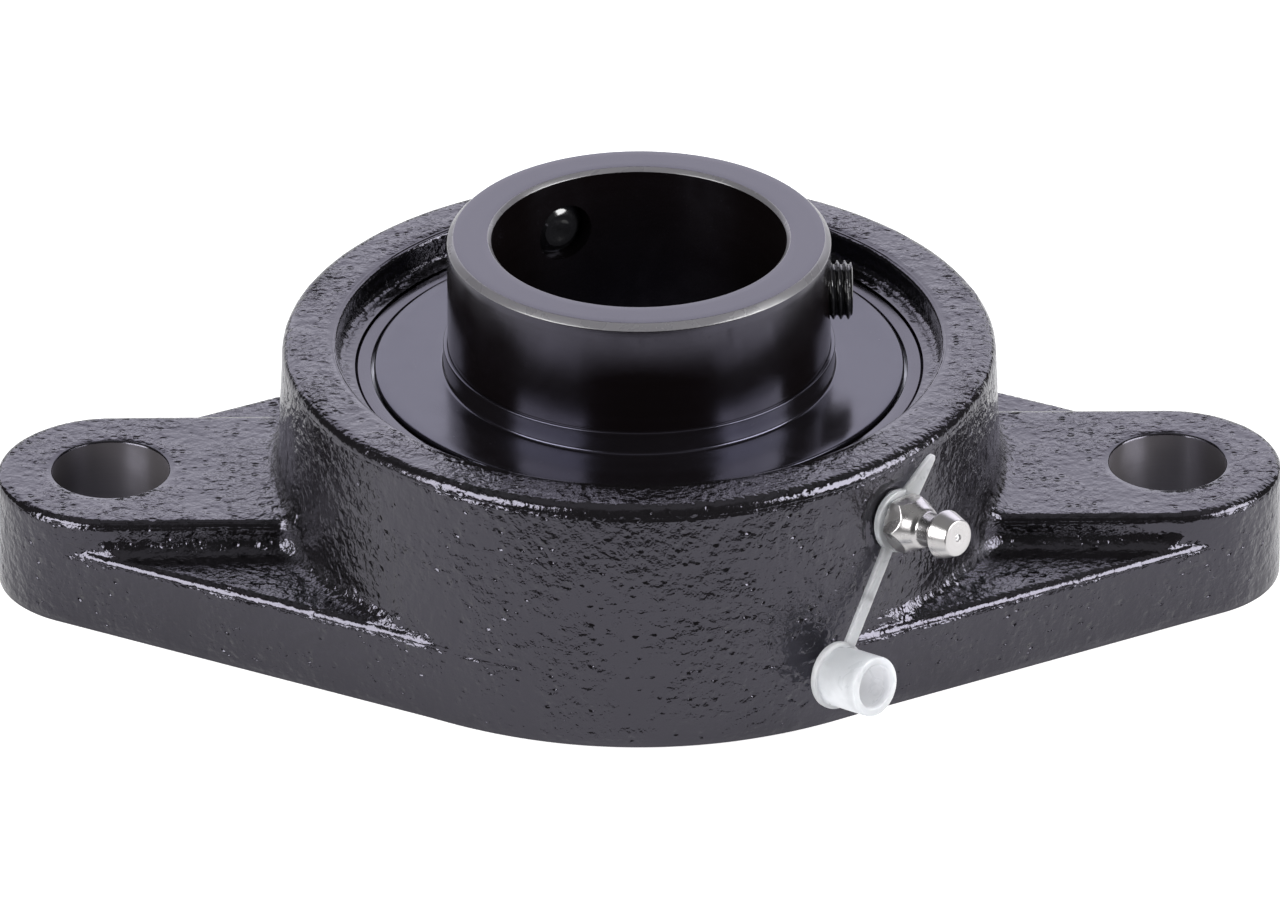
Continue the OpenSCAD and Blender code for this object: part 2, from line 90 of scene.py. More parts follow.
makeCamera(cameraSetup)
scene.view_settings.view_transform = "Standard"
print("camera set")


# Node helpers
def put(tree, kind, inputs=None, **props):
    node = tree.nodes.new(kind)
    for key, value in props.items():
        setattr(node, key, value)
    for key, value in (inputs or {}).items():
        node.inputs[key].default_value = value
    return node


def link(tree, source, target):
    tree.links.new(source, target)


def mathNode(tree, operation, first, second=None, third=None):
    node = put(tree, "ShaderNodeMath", operation=operation)
    for index, value in enumerate((first, second, third)):
        if value is None:
            continue
        if isinstance(value, (int, float)):
            node.inputs[index].default_value = value
        else:
            link(tree, value, node.inputs[index])
    return node.outputs[0]


def ramp(tree, source, low, high, toLow=0.0, toHigh=1.0, smooth=True):
    node = put(tree, "ShaderNodeMapRange", interpolation_type="SMOOTHSTEP" if smooth else "LINEAR")
    node.inputs["From Min"].default_value = low
    node.inputs["From Max"].default_value = high
    node.inputs["To Min"].default_value = toLow
    node.inputs["To Max"].default_value = toHigh
    link(tree, source, node.inputs["Value"])
    return node.outputs["Result"]


# World, floor and lamps
lightSetup = {
    "ambient": 0.25,
    "mirrored": 0.05,
    "mirroredHigh": 0.35,
    "highFrom": (0.78, 0.97),
    "floorGrey": 0.6,
    "floorSeen": 0.75,
    "floorMirrored": (0.39, 0.60),
    "floorTurn": (-0.05, 0.30),
    "floorHalf": 2.5,
    "floorFront": -0.14,
    "floorZ": -0.0003,
    "aim": (0, 0, 0.02),
    "lamps": [
        ("lampBack", (0.0, 1.15, 0.62), (2.2, 1.0), 13.8, (0.90, 0.885, 1.0)),
        ("lampLeft", (-0.591, -0.414, 0.364), (0.55, 0.46), 7.6, (1, 1, 1)),
        ("lampRight", (0.678, -0.247, 0.364), (0.58, 0.46), 8.8, (1, 1, 1)),
    ],
}


def makeStage(setup):
    world = bpy.data.worlds.new("studio")
    scene.world = world
    world.use_nodes = True
    tree = world.node_tree
    tree.nodes.clear()
    path = put(tree, "ShaderNodeLightPath")
    bright = mathNode(tree, "MAXIMUM", path.outputs["Is Camera Ray"], path.outputs["Is Transmission Ray"])
    # Gloss sees a dark room with a paler ceiling
    way = put(tree, "ShaderNodeSeparateXYZ")
    link(tree, put(tree, "ShaderNodeTexCoord").outputs["Generated"], way.inputs[0])
    room = ramp(tree, way.outputs[2], *setup["highFrom"], setup["mirrored"], setup["mirroredHigh"])
    mirrored = ramp(tree, path.outputs["Is Glossy Ray"], 0, 1, setup["ambient"], 0.0, False)
    mirrored = mathNode(tree, "MULTIPLY_ADD", path.outputs["Is Glossy Ray"], room, mirrored)
    sky = put(tree, "ShaderNodeBackground", {"Color": (1, 1, 1, 1)})
    link(tree, mathNode(tree, "MAXIMUM", bright, mirrored), sky.inputs["Strength"])
    out = put(tree, "ShaderNodeOutputWorld")
    link(tree, sky.outputs[0], out.inputs["Surface"])

    material = bpy.data.materials.new("paleFloor")
    material.use_nodes = True
    tree = material.node_tree
    tree.nodes.clear()
    matte = put(tree, "ShaderNodeBsdfDiffuse", {"Color": (setup["floorGrey"],) * 3 + (1,)})
    glow = put(tree, "ShaderNodeEmission", {"Color": (1, 1, 1, 1)})
    path = put(tree, "ShaderNodeLightPath")
    seen = mathNode(tree, "MAXIMUM", path.outputs["Is Camera Ray"], path.outputs["Is Transmission Ray"])
    # The floor is brighter towards the right
    spot = put(tree, "ShaderNodeSeparateXYZ")
    link(tree, put(tree, "ShaderNodeTexCoord").outputs["Object"], spot.inputs[0])
    shine = ramp(tree, spot.outputs[0], *setup["floorTurn"], *setup["floorMirrored"])
    mirrored = mathNode(tree, "MULTIPLY", path.outputs["Is Glossy Ray"], shine)
    link(tree, mathNode(tree, "MULTIPLY_ADD", seen, setup["floorSeen"], mirrored), glow.inputs["Strength"])
    both = put(tree, "ShaderNodeAddShader")
    link(tree, matte.outputs[0], both.inputs[0])
    link(tree, glow.outputs[0], both.inputs[1])
    out = put(tree, "ShaderNodeOutputMaterial")
    link(tree, both.outputs[0], out.inputs["Surface"])
    mesh = bpy.data.meshes.new("floor")
    half, front, low = setup["floorHalf"], setup["floorFront"], setup["floorZ"]
    mesh.from_pydata([(-half, front, low), (half, front, low), (half, half, low), (-half, half, low)], [],
                     [(0, 1, 2, 3)])
    mesh.materials.append(material)
    floor = bpy.data.objects.new("floor", mesh)
    scene.collection.objects.link(floor)

    for name, place, size, power, colour in setup["lamps"]:
        data = bpy.data.lights.new(name, "AREA")
        data.shape = "RECTANGLE"
        data.size, data.size_y = size
        data.energy = power
        data.color = colour
        lamp = bpy.data.objects.new(name, data)
        lamp.location = place
        lamp.rotation_euler = (Vector(setup["aim"]) - Vector(place)).to_track_quat("-Z", "Y").to_euler()
        lamp.visible_camera = False
        scene.collection.objects.link(lamp)


makeStage(lightSetup)
print("stage and lamps set")


# Shader groups that several finishes share
def newGroup(name, inputs, outputs):
    group = bpy.data.node_groups.new(name, "ShaderNodeTree")
    for label, kind, value in inputs:
        socket = group.interface.new_socket(label, in_out="INPUT", socket_type=kind)
        if value is not None:
            socket.default_value = value
    for label, kind in outputs:
        group.interface.new_socket(label, in_out="OUTPUT", socket_type=kind)
    return group, put(group, "NodeGroupInput"), put(group, "NodeGroupOutput")


def makeTurnedMarks():
    # Fine rings left by a lathe: they change with the distance from the Z axis and along it
    group, start, end = newGroup(
        "turnedMarks",
        [("Vector", "NodeSocketVector", None), ("Lines", "NodeSocketFloat", 3000.0)],
        [("Height", "NodeSocketFloat"), ("Tone", "NodeSocketFloat")],
    )
    parts = put(group, "ShaderNodeSeparateXYZ")
    link(group, start.outputs["Vector"], parts.inputs[0])
    xx = mathNode(group, "MULTIPLY", parts.outputs[0], parts.outputs[0])
    reach = mathNode(group, "SQRT", mathNode(group, "MULTIPLY_ADD", parts.outputs[1], parts.outputs[1], xx))
    run = mathNode(group, "ADD", reach, parts.outputs[2])
    fine = put(group, "ShaderNodeTexNoise", {"Scale": 1.0, "Detail": 3.0, "Roughness": 0.6}, noise_dimensions="1D")
    link(group, mathNode(group, "MULTIPLY", run, start.outputs["Lines"]), fine.inputs["W"])
    wide = put(group, "ShaderNodeTexNoise", {"Scale": 0.12, "Detail": 2.0, "Roughness": 0.5}, noise_dimensions="1D")
    link(group, mathNode(group, "MULTIPLY", run, start.outputs["Lines"]), wide.inputs["W"])
    link(group, fine.outputs["Fac"], end.inputs["Height"])
    tone = mathNode(group, "MULTIPLY_ADD", fine.outputs["Fac"], 0.5, mathNode(group, "MULTIPLY", wide.outputs["Fac"], 0.5))
    link(group, tone, end.inputs["Tone"])
    return group


def makeHandling():
    # Soft smears and fine dust from handling
    group, start, end = newGroup(
        "handling",
        [("Vector", "NodeSocketVector", None), ("Smear Size", "NodeSocketFloat", 60.0)],
        [("Smear", "NodeSocketFloat"), ("Dust", "NodeSocketFloat")],
    )
    smear = put(group, "ShaderNodeTexNoise", {"Detail": 4.0, "Roughness": 0.55, "Distortion": 0.8})
    link(group, start.outputs["Vector"], smear.inputs["Vector"])
    link(group, start.outputs["Smear Size"], smear.inputs["Scale"])
    dust = put(group, "ShaderNodeTexNoise", {"Scale": 2400.0, "Detail": 2.0, "Roughness": 0.6})
    link(group, start.outputs["Vector"], dust.inputs["Vector"])
    link(group, ramp(group, smear.outputs["Fac"], 0.3, 0.7), end.inputs["Smear"])
    link(group, ramp(group, dust.outputs["Fac"], 0.62, 0.8), end.inputs["Dust"])
    return group


def makeCastGrain():
    # Sand-cast skin: leathery swells, small pits and fine grit
    group, start, end = newGroup(
        "castGrain",
        [("Vector", "NodeSocketVector", None), ("Swells", "NodeSocketFloat", 760.0), ("Pits", "NodeSocketFloat", 480.0)],
        [("Height", "NodeSocketFloat"), ("Pit", "NodeSocketFloat"), ("Tone", "NodeSocketFloat")],
    )
    swell = put(group, "ShaderNodeTexNoise", {"Detail": 2.5, "Roughness": 0.5, "Distortion": 0.2})
    link(group, start.outputs["Vector"], swell.inputs["Vector"])
    link(group, start.outputs["Swells"], swell.inputs["Scale"])
    cell = put(group, "ShaderNodeTexVoronoi", {"Smoothness": 0.6}, feature="SMOOTH_F1")
    link(group, start.outputs["Vector"], cell.inputs["Vector"])
    link(group, start.outputs["Pits"], cell.inputs["Scale"])
    pit = ramp(group, cell.outputs["Distance"], 0.30, 0.05)
    grit = put(group, "ShaderNodeTexNoise", {"Scale": 2600.0, "Detail": 2.0, "Roughness": 0.6})
    link(group, start.outputs["Vector"], grit.inputs["Vector"])
    broad = put(group, "ShaderNodeTexNoise", {"Scale": 110.0, "Detail": 3.0, "Roughness": 0.5})
    link(group, start.outputs["Vector"], broad.inputs["Vector"])
    height = mathNode(group, "MULTIPLY_ADD", grit.outputs["Fac"], 0.16, swell.outputs["Fac"])
    height = mathNode(group, "MULTIPLY_ADD", pit, -0.4, height)
    link(group, height, end.inputs["Height"])
    link(group, pit, end.inputs["Pit"])
    link(group, broad.outputs["Fac"], end.inputs["Tone"])
    return group


turnedMarks = makeTurnedMarks()
handling = makeHandling()
castGrain = makeCastGrain()


def groupNode(tree, group, vector, **inputs):
    node = put(tree, "ShaderNodeGroup", node_tree=group)
    link(tree, vector, node.inputs["Vector"])
    for key, value in inputs.items():
        node.inputs[key].default_value = value
    return node


def newFinish(name, **plain):
    material = bpy.data.materials.new(name)
    material.use_nodes = True
    tree = material.node_tree
    tree.nodes.clear()
    shader = put(tree, "ShaderNodeBsdfPrincipled")
    for key, value in plain.items():
        shader.inputs[key].default_value = value
    out = put(tree, "ShaderNodeOutputMaterial")
    link(tree, shader.outputs[0], out.inputs["Surface"])
    spot = put(tree, "ShaderNodeTexCoord")
    return material, tree, shader, spot.outputs["Object"]


def tint(tree, factor, dark, light):
    node = put(tree, "ShaderNodeMix", data_type="RGBA")
    node.inputs[6].default_value = dark + (1,)
    node.inputs[7].default_value = light + (1,)
    link(tree, factor, node.inputs["Factor"])
    return node.outputs[2]


def bump(tree, height, strength, distance):
    node = put(tree, "ShaderNodeBump", {"Strength": strength, "Distance": distance})
    link(tree, height, node.inputs["Height"])
    return node.outputs["Normal"]


enamelLook = {
    "dark": (0.0040, 0.0034, 0.0038),
    "light": (0.0072, 0.0066, 0.0074),
    # pit is painted shade: a darker colour laid into the pits of the cast skin
    "pit": (0.0020, 0.0016, 0.0016),
    "sheen": (0.86, 0.83, 1.0),
    "rough": (0.10, 0.17),
    "grain": 1.0,
    "depth": 0.00040,
}


def makeEnamel(look):
    material, tree, shader, place = newFinish("blackEnamel", **{"IOR": 1.66, "Specular Tint": look["sheen"] + (1,)})
    grain = groupNode(tree, castGrain, place)
    touch = groupNode(tree, handling, place, **{"Smear Size": 45.0})
    skin = put(tree, "ShaderNodeAttribute", attribute_name="skin")
    colour = tint(tree, grain.outputs["Tone"], look["dark"], look["light"])
    # Pits are painted darker, as painted shade in the small recesses of the skin
    pitShade = put(tree, "ShaderNodeMix", data_type="RGBA")
    pitShade.inputs[7].default_value = look["pit"] + (1,)
    link(tree, colour, pitShade.inputs[6])
    link(tree, mathNode(tree, "MULTIPLY", grain.outputs["Pit"], skin.outputs["Fac"]), pitShade.inputs["Factor"])
    link(tree, pitShade.outputs[2], shader.inputs["Base Color"])
    rough = ramp(tree, touch.outputs["Smear"], 0, 1, look["rough"][0], look["rough"][1], False)
    link(tree, mathNode(tree, "MULTIPLY_ADD", touch.outputs["Dust"], 0.12, rough), shader.inputs["Roughness"])
    worn = ramp(tree, grain.outputs["Tone"], 0.34, 0.58, 0.45, 1.0)
    height = mathNode(tree, "MULTIPLY", grain.outputs["Height"], mathNode(tree, "MULTIPLY", skin.outputs["Fac"], worn))
    link(tree, bump(tree, height, look["grain"], look["depth"]), shader.inputs["Normal"])
    return material


turnedLooks = {
    "blackOxide": {"dark": (0.0020, 0.0012, 0.0012), "light": (0.0034, 0.0026, 0.0028), "rough": (0.13, 0.17), "metal": 0.0,
                   "ior": 1.70, "lines": 4800.0, "grain": 0.12, "sheen": (0.80, 0.77, 0.98), "stretch": 0.85},
    "wornOxide": {"dark": (0.075, 0.073, 0.079), "light": (0.14, 0.136, 0.147), "rough": (0.22, 0.34), "metal": 0.0,
                  "ior": 1.70, "lines": 3000.0, "grain": 0.30},
    "slingerBlack": {"dark": (0.0030, 0.0022, 0.0026), "light": (0.0060, 0.0052, 0.0060), "rough": (0.16, 0.23), "metal": 0.0,
                     "ior": 1.65, "lines": 3400.0, "grain": 0.04, "sheen": (0.74, 0.73, 1.0)},
    "ringBlack": {"dark": (0.0030, 0.0022, 0.0026), "light": (0.0060, 0.0052, 0.0060), "rough": (0.12, 0.20), "metal": 0.0,
                  "ior": 1.65, "lines": 3000.0, "grain": 0.14, "sheen": (0.80, 0.77, 1.0)},
    "boredIron": {"dark": (0.25, 0.234, 0.234), "light": (0.38, 0.355, 0.355), "rough": (0.28, 0.40), "metal": 1.0,
                  "ior": 1.5, "lines": 2200.0, "grain": 0.20},
    "boredPaint": {"dark": (0.050, 0.046, 0.048), "light": (0.082, 0.076, 0.080), "rough": (0.30, 0.38), "metal": 0.0,
                   "ior": 2.1, "lines": 2200.0, "grain": 0.20, "sheen": (0.86, 0.83, 1.0), "stretch": 0.85},
    "ballSteel": {"dark": (0.66, 0.66, 0.68), "light": (0.76, 0.76, 0.78), "rough": (0.05, 0.10), "metal": 1.0,
                  "ior": 1.5, "lines": 900.0, "grain": 0.01},
    "cageSteel": {"dark": (0.42, 0.42, 0.43), "light": (0.56, 0.56, 0.58), "rough": (0.30, 0.42), "metal": 1.0,
                  "ior": 1.5, "lines": 1500.0, "grain": 0.06},
    "sealSteel": {"dark": (0.36, 0.37, 0.38), "light": (0.48, 0.49, 0.51), "rough": (0.30, 0.44), "metal": 1.0,
                  "ior": 1.5, "lines": 1800.0, "grain": 0.06},
    "springSteel": {"dark": (0.46, 0.46, 0.47), "light": (0.60, 0.60, 0.62), "rough": (0.20, 0.32), "metal": 1.0,
                    "ior": 1.5, "lines": 2600.0, "grain": 0.05},
    "screwBlack": {"dark": (0.006, 0.006, 0.007), "light": (0.016, 0.016, 0.018), "rough": (0.12, 0.20), "metal": 0.0,
                   "ior": 1.8, "lines": 3200.0, "grain": 0.06},
    "nickel": {"dark": (0.43, 0.417, 0.417), "light": (0.57, 0.555, 0.555), "rough": (0.24, 0.35), "metal": 1.0,
               "ior": 1.5, "lines": 4200.0, "grain": 0.35},
}


def makeTurned(name, look, origin=None, turn=None):
    plain = {"Metallic": look["metal"], "IOR": look["ior"], "Specular Tint": look.get("sheen", (1, 1, 1)) + (1,)}
    material, tree, shader, place = newFinish(name, **plain)
    if origin is not None:
        move = put(tree, "ShaderNodeMapping", vector_type="TEXTURE")
        move.inputs["Location"].default_value = origin
        move.inputs["Rotation"].default_value = turn
        link(tree, place, move.inputs["Vector"])
        place = move.outputs["Vector"]
    if look.get("stretch"):
        # Turning rings draw a reflection out along the Z axis
        shader.inputs["Anisotropic"].default_value = look["stretch"]
        shader.inputs["Anisotropic Rotation"].default_value = 0.25
        around = put(tree, "ShaderNodeVectorMath", {0: (0, 0, 1)}, operation="CROSS_PRODUCT")
        link(tree, place, around.inputs[1])
        seen = put(tree, "ShaderNodeVectorTransform", vector_type="VECTOR", convert_from="OBJECT", convert_to="WORLD")
        link(tree, around.outputs[0], seen.inputs[0])
        link(tree, seen.outputs[0], shader.inputs["Tangent"])
    marks = groupNode(tree, turnedMarks, place, Lines=look["lines"])
    touch = groupNode(tree, handling, place, **{"Smear Size": 140.0})
    link(tree, tint(tree, marks.outputs["Tone"], look["dark"], look["light"]), shader.inputs["Base Color"])
    rough = ramp(tree, touch.outputs["Smear"], 0, 1, look["rough"][0], look["rough"][1], False)
    link(tree, mathNode(tree, "MULTIPLY_ADD", touch.outputs["Dust"], 0.08, rough), shader.inputs["Roughness"])
    link(tree, bump(tree, marks.outputs["Height"], look["grain"], 0.00002), shader.inputs["Normal"])
    return material


def makeRubber():
    material, tree, shader, place = newFinish("sealRubber", **{"IOR": 1.5})
    touch = groupNode(tree, handling, place, **{"Smear Size": 220.0})
    link(tree, tint(tree, touch.outputs["Smear"], (0.012, 0.012, 0.012), (0.024, 0.024, 0.025)), shader.inputs["Base Color"])
    link(tree, ramp(tree, touch.outputs["Smear"], 0, 1, 0.55, 0.7, False), shader.inputs["Roughness"])
    link(tree, bump(tree, touch.outputs["Dust"], 0.2, 0.00003), shader.inputs["Normal"])
    return material


capLooks = {
    "capMilky": {"dark": (0.435, 0.455, 0.495), "light": (0.490, 0.510, 0.550), "through": 0.0, "soft": 1.0, "rough": (0.26, 0.40)},
    # The thin strap and tab are the cup's plastic painted darker: painted shade where light passes through them to the
    # black wall behind
    "capThinShaded": {"dark": (0.345, 0.358, 0.392), "light": (0.400, 0.414, 0.448), "through": 0.0, "soft": 1.0, "rough": (0.22, 0.34)},
    "capClear": {"dark": (0.74, 0.76, 0.78), "light": (0.84, 0.86, 0.88), "through": 0.7, "soft": 0.0, "rough": (0.16, 0.26)},
}


def makeCapPlastic(name, look):
    plain = {"IOR": 1.5, "Transmission Weight": look["through"], "Subsurface Weight": look["soft"],
             "Subsurface Radius": (0.012, 0.012, 0.0126), "Subsurface Scale": 1.0}
    material, tree, shader, place = newFinish(name, **plain)
    touch = groupNode(tree, handling, place, **{"Smear Size": 260.0})
    link(tree, tint(tree, touch.outputs["Smear"], look["dark"], look["light"]), shader.inputs["Base Color"])
    link(tree, ramp(tree, touch.outputs["Smear"], 0, 1, look["rough"][0], look["rough"][1], False), shader.inputs["Roughness"])
    link(tree, bump(tree, touch.outputs["Dust"], 0.08, 0.00002), shader.inputs["Normal"])
    return material


# The nipple axis starts on the boss wall; the dust cap turns about it
nippleAxis = {"azimuth": -46.0, "tilt": 8.0, "groove": 4.2, "wall": 48.4, "top": 35.5, "draft": 2.5, "sunk": 0.15,
              "centre": 21.0, "seat": 40.05, "strap": 39.0}


def nippleFrame(setup):
    azimuth, tilt = math.radians(setup["azimuth"]), math.radians(setup["tilt"])
    inner = math.sqrt(setup["seat"] ** 2 - setup["groove"] ** 2)
    slope = math.tan(math.radians(setup["draft"]))
    out = setup["wall"] + (setup["top"] - setup["centre"] - setup["groove"]) * slope - setup["sunk"]
    height = setup["centre"] + setup["groove"] + (out - inner) / math.cos(tilt) * math.sin(tilt)
    spot = Vector((out * math.cos(azimuth), out * math.sin(azimuth), height)) * mm
    turn = Euler((0, math.radians(90) - tilt, azimuth), "XYZ")
    return spot, turn


nippleSpot, nippleTurn = nippleFrame(nippleAxis)
toNipple = Matrix.Translation(nippleSpot) @ nippleTurn.to_matrix().to_4x4()
toStrap = toNipple @ Matrix.Rotation(-math.radians(nippleAxis["strap"]), 4, "Z")
bearingCentre = 21.0

enamel = makeEnamel(enamelLook)
finishes = {name: makeTurned(name, turnedLooks[name]) for name in
            ("blackOxide", "wornOxide", "slingerBlack", "ringBlack", "boredIron", "ballSteel", "cageSteel", "sealSteel",
             "springSteel")}
finishes["nickel"] = makeTurned("nickel", turnedLooks["nickel"], nippleSpot, nippleTurn)
rubber = makeRubber()
capMilky, capThinShaded, capClear = (makeCapPlastic(name, capLooks[name]) for name in ("capMilky", "capThinShaded", "capClear"))
print("finishes made")


# Mesh helpers: sizes are written in millimetres and stored in metres
def soften(points, steps=4):
    # Corners given as (r, z, radius) become short curves
    result = []
    count = len(points)
    for index, (r, z, radius) in enumerate(points):
        here = np.array((r, z), float)
        if radius <= 0 or index in (0, count - 1):
            result.append((r, z))
            continue
        before = np.array(points[index - 1][:2], float) - here
        after = np.array(points[index + 1][:2], float) - here
        lengths = np.linalg.norm(before), np.linalg.norm(after)
        reach = min(radius, 0.48 * lengths[0], 0.48 * lengths[1])
        first = here + before / lengths[0] * reach
        last = here + after / lengths[1] * reach
        for step in range(steps + 1):
            t = step / steps
            spot = (1 - t) ** 2 * first + 2 * t * (1 - t) * here + t * t * last
            result.append((float(spot[0]), float(spot[1])))
    return result


def refine(points, longest):
    # Long straight stretches get points in between
    result = [points[0]]
    for (r0, z0), (r1, z1) in zip(points, points[1:]):
        count = max(1, math.ceil(math.hypot(r1 - r0, z1 - z0) / longest))
        for step in range(1, count + 1):
            result.append((r0 + (r1 - r0) * step / count, z0 + (z1 - z0) * step / count))
    return result


def spun(profile, count, closed):
    verts, faces, rows = [], [], []
    for r, z in profile:
        if r < 1e-6:
            rows.append([len(verts)] * count)
            verts.append((0, 0, z))
            continue
        rows.append(list(range(len(verts), len(verts) + count)))
        for step in range(count):
            angle = 2 * math.pi * step / count
            verts.append((r * math.cos(angle), r * math.sin(angle), z))
    pairs = list(zip(rows, rows[1:]))
    if closed:
        pairs.append((rows[-1], rows[0]))
    for low, high in pairs:
        for step in range(count):
            after = (step + 1) % count
            face = [low[step], low[after], high[after], high[step]]
            face = [v for i, v in enumerate(face) if v not in face[:i]]
            if len(face) > 2:
                faces.append(face)
    return verts, faces


def makePiece(name, verts, faces, material, place=None, sharp=32.0):
    mesh = bpy.data.meshes.new(name)
    mesh.from_pydata([tuple(float(c) * mm for c in v) for v in verts], [], [tuple(f) for f in faces])
    bm = bmesh.new()
    bm.from_mesh(mesh)
    bmesh.ops.remove_doubles(bm, verts=bm.verts, dist=1e-8)
    bmesh.ops.recalc_face_normals(bm, faces=bm.faces)
    bm.to_mesh(mesh)
    bm.free()
    if place is not None:
        mesh.transform(place)
    if material is not None:
        mesh.materials.append(material)
    piece = bpy.data.objects.new(name, mesh)
    scene.collection.objects.link(piece)
    smoothOver(mesh, sharp)
    return piece


def smoothOver(mesh, sharp):
    mesh.polygons.foreach_set("use_smooth", [True] * len(mesh.polygons))
    mesh.set_sharp_from_angle(angle=math.radians(sharp))
    mesh.update()


def lathe(name, profile, material, count=192, closed=True, place=None, sharp=32.0):
    verts, faces = spun(profile, count, closed)
    return makePiece(name, verts, faces, material, place, sharp)


def bake(piece):
    # The evaluated shape becomes the piece's own mesh
    graph = bpy.context.evaluated_depsgraph_get()
    mesh = bpy.data.meshes.new_from_object(piece.evaluated_get(graph))
    piece.modifiers.clear()
    old = piece.data
    piece.data = mesh
    bpy.data.meshes.remove(old)
    mesh.name = piece.name
    return piece


def carve(piece, cutters, mode="DIFFERENCE"):
    for cutter in cutters:
        step = piece.modifiers.new("carve", "BOOLEAN")
        step.operation = mode
        step.solver = "MANIFOLD"
        step.object = cutter
        bake(piece)
        bpy.data.objects.remove(cutter)
    return dress(piece, piece.data.materials[0] if piece.data.materials else None)


def dress(piece, *materials):
    # All faces take the first finish; the others wait for faces of their own
    mesh = piece.data
    mesh.materials.clear()
    for material in materials:
        mesh.materials.append(material)
    mesh.polygons.foreach_set("material_index", [0] * len(mesh.polygons))
    return piece


def prism(name, outline, low, high):
    count = len(outline)
    verts = [(x, y, low) for x, y in outline] + [(x, y, high) for x, y in outline]
    faces = [list(range(count)), list(range(count, 2 * count))]
    faces += [[i, (i + 1) % count, count + (i + 1) % count, count + i] for i in range(count)]
    return makePiece(name, verts, faces, None)


def addTree(name, sockets):
    tree = bpy.data.node_groups.new(name, "GeometryNodeTree")
    tree.interface.new_socket("Geometry", in_out="INPUT", socket_type="NodeSocketGeometry")
    ids = {}
    for label, kind, value in sockets:
        socket = tree.interface.new_socket(label, in_out="INPUT", socket_type=kind)
        if value is not None:
            socket.default_value = value
        ids[label] = socket.identifier
    tree.interface.new_socket("Geometry", in_out="OUTPUT", socket_type="NodeSocketGeometry")
    return tree, ids, put(tree, "NodeGroupInput"), put(tree, "NodeGroupOutput")


def closeTree(tree, start, end, geometry):
    whole = put(tree, "GeometryNodeRealizeInstances")
    dress = put(tree, "GeometryNodeSetMaterial")
    link(tree, geometry, whole.inputs[0])
    link(tree, whole.outputs[0], dress.inputs["Geometry"])
    link(tree, start.outputs["Finish"], dress.inputs["Material"])
    link(tree, dress.outputs[0], end.inputs[0])


def grow(piece, tree, ids, values):
    step = piece.modifiers.new(tree.name, "NODES")
    step.node_group = tree
    for label, value in values.items():
        step[ids[label]] = value
    return bake(piece)


# Housing: an outline shape with rounded edges and fillets, cut by the machined bores
housingForm = {
    "boltSpan": 144.0, "holeR": 8.0, "holeChamfer": 0.4, "holeRound": 0.35, "holeBare": 0.03, "lobeR": 15.5, "armH": 16.0, "plateH": 11.5, "edgeR": 1.0,
    "bossR": 48.4, "bossH": 35.5, "rimR": 1.5, "draft": 2.5, "footR": 2.5, "recessR": 41.0, "recessZ": 31.7,
    "recessFillet": 1.0, "rimInner": 0.8, "seatR": 40.05, "rearZ": 9.9, "slotHalf": 10.8, "spotR": 5.35, "cell": 0.52,
    "seam": 0.5, "tuck": 0.5, "edgeSkin": 0.5, "cornerSkin": 0.9,
}


def castForm(p, form):
    # Signed distance to the casting before machining, below zero inside
    x, y, z = np.abs(p[..., 0]), np.abs(p[..., 1]), p[..., 2]
    half = form["boltSpan"] / 2
    slope = math.tan(math.radians(form["draft"]))
    waist = form["bossR"] + form["bossH"] * slope + 0.06
    lean = (waist - form["lobeR"]) / half
    straight = math.sqrt(1 - lean * lean)
    along = straight * x - lean * y
    plate = np.where(along < 0, np.hypot(x, y) - waist,
                     np.where(along > straight * half, np.hypot(x - half, y) - form["lobeR"],
                              straight * y + lean * x - waist))
    plate = plate + slope * np.clip(z, 0, form["plateH"]) * np.clip((60 - x) / 25, 0, 1)
    # In the middle the plate stays just inside the boss, so one smooth wall shows
    plate = plate + form["tuck"] * np.clip((25 - x) / 10, 0, 1)
    arm = np.hypot(np.maximum(x - half, 0), y) - form["lobeR"]
    boss = (np.hypot(x, y) - form["bossR"] - (form["bossH"] - z) * slope) * math.cos(math.radians(form["draft"]))

    def rounded(side, high, radius):
        a, b = side + radius, z - high + radius
        return np.hypot(np.maximum(a, 0), np.maximum(b, 0)) + np.minimum(np.maximum(a, b), 0) - radius

    def fillet(a, b, radius):
        corner = np.hypot(np.maximum(radius - a, 0), np.maximum(radius - b, 0))
        return np.maximum(radius, np.minimum(a, b)) - corner

    def merge(a, b, width):
        near = np.maximum(width - np.abs(a - b), 0) / width
        return np.minimum(a, b) - near * near * width / 4

    # The fillet at the foot of arms and boss stays inside the plate's rounded edge
    raised = fillet(rounded(arm, form["armH"], form["edgeR"]), rounded(boss, form["bossH"], form["rimR"]), form["footR"])
    foot = np.maximum(fillet(raised, z - form["plateH"], form["footR"]), plate + form["edgeR"])
    # Round the bolt holes the walls of plate and arm are one, with no seam
    seam = form["seam"] * np.clip((half - 6 - x) / 10, 0.02, 1)
    body = merge(rounded(plate, form["plateH"], form["edgeR"]), np.minimum(raised, foot), seam)
    return np.maximum(body, -z - 2.0)


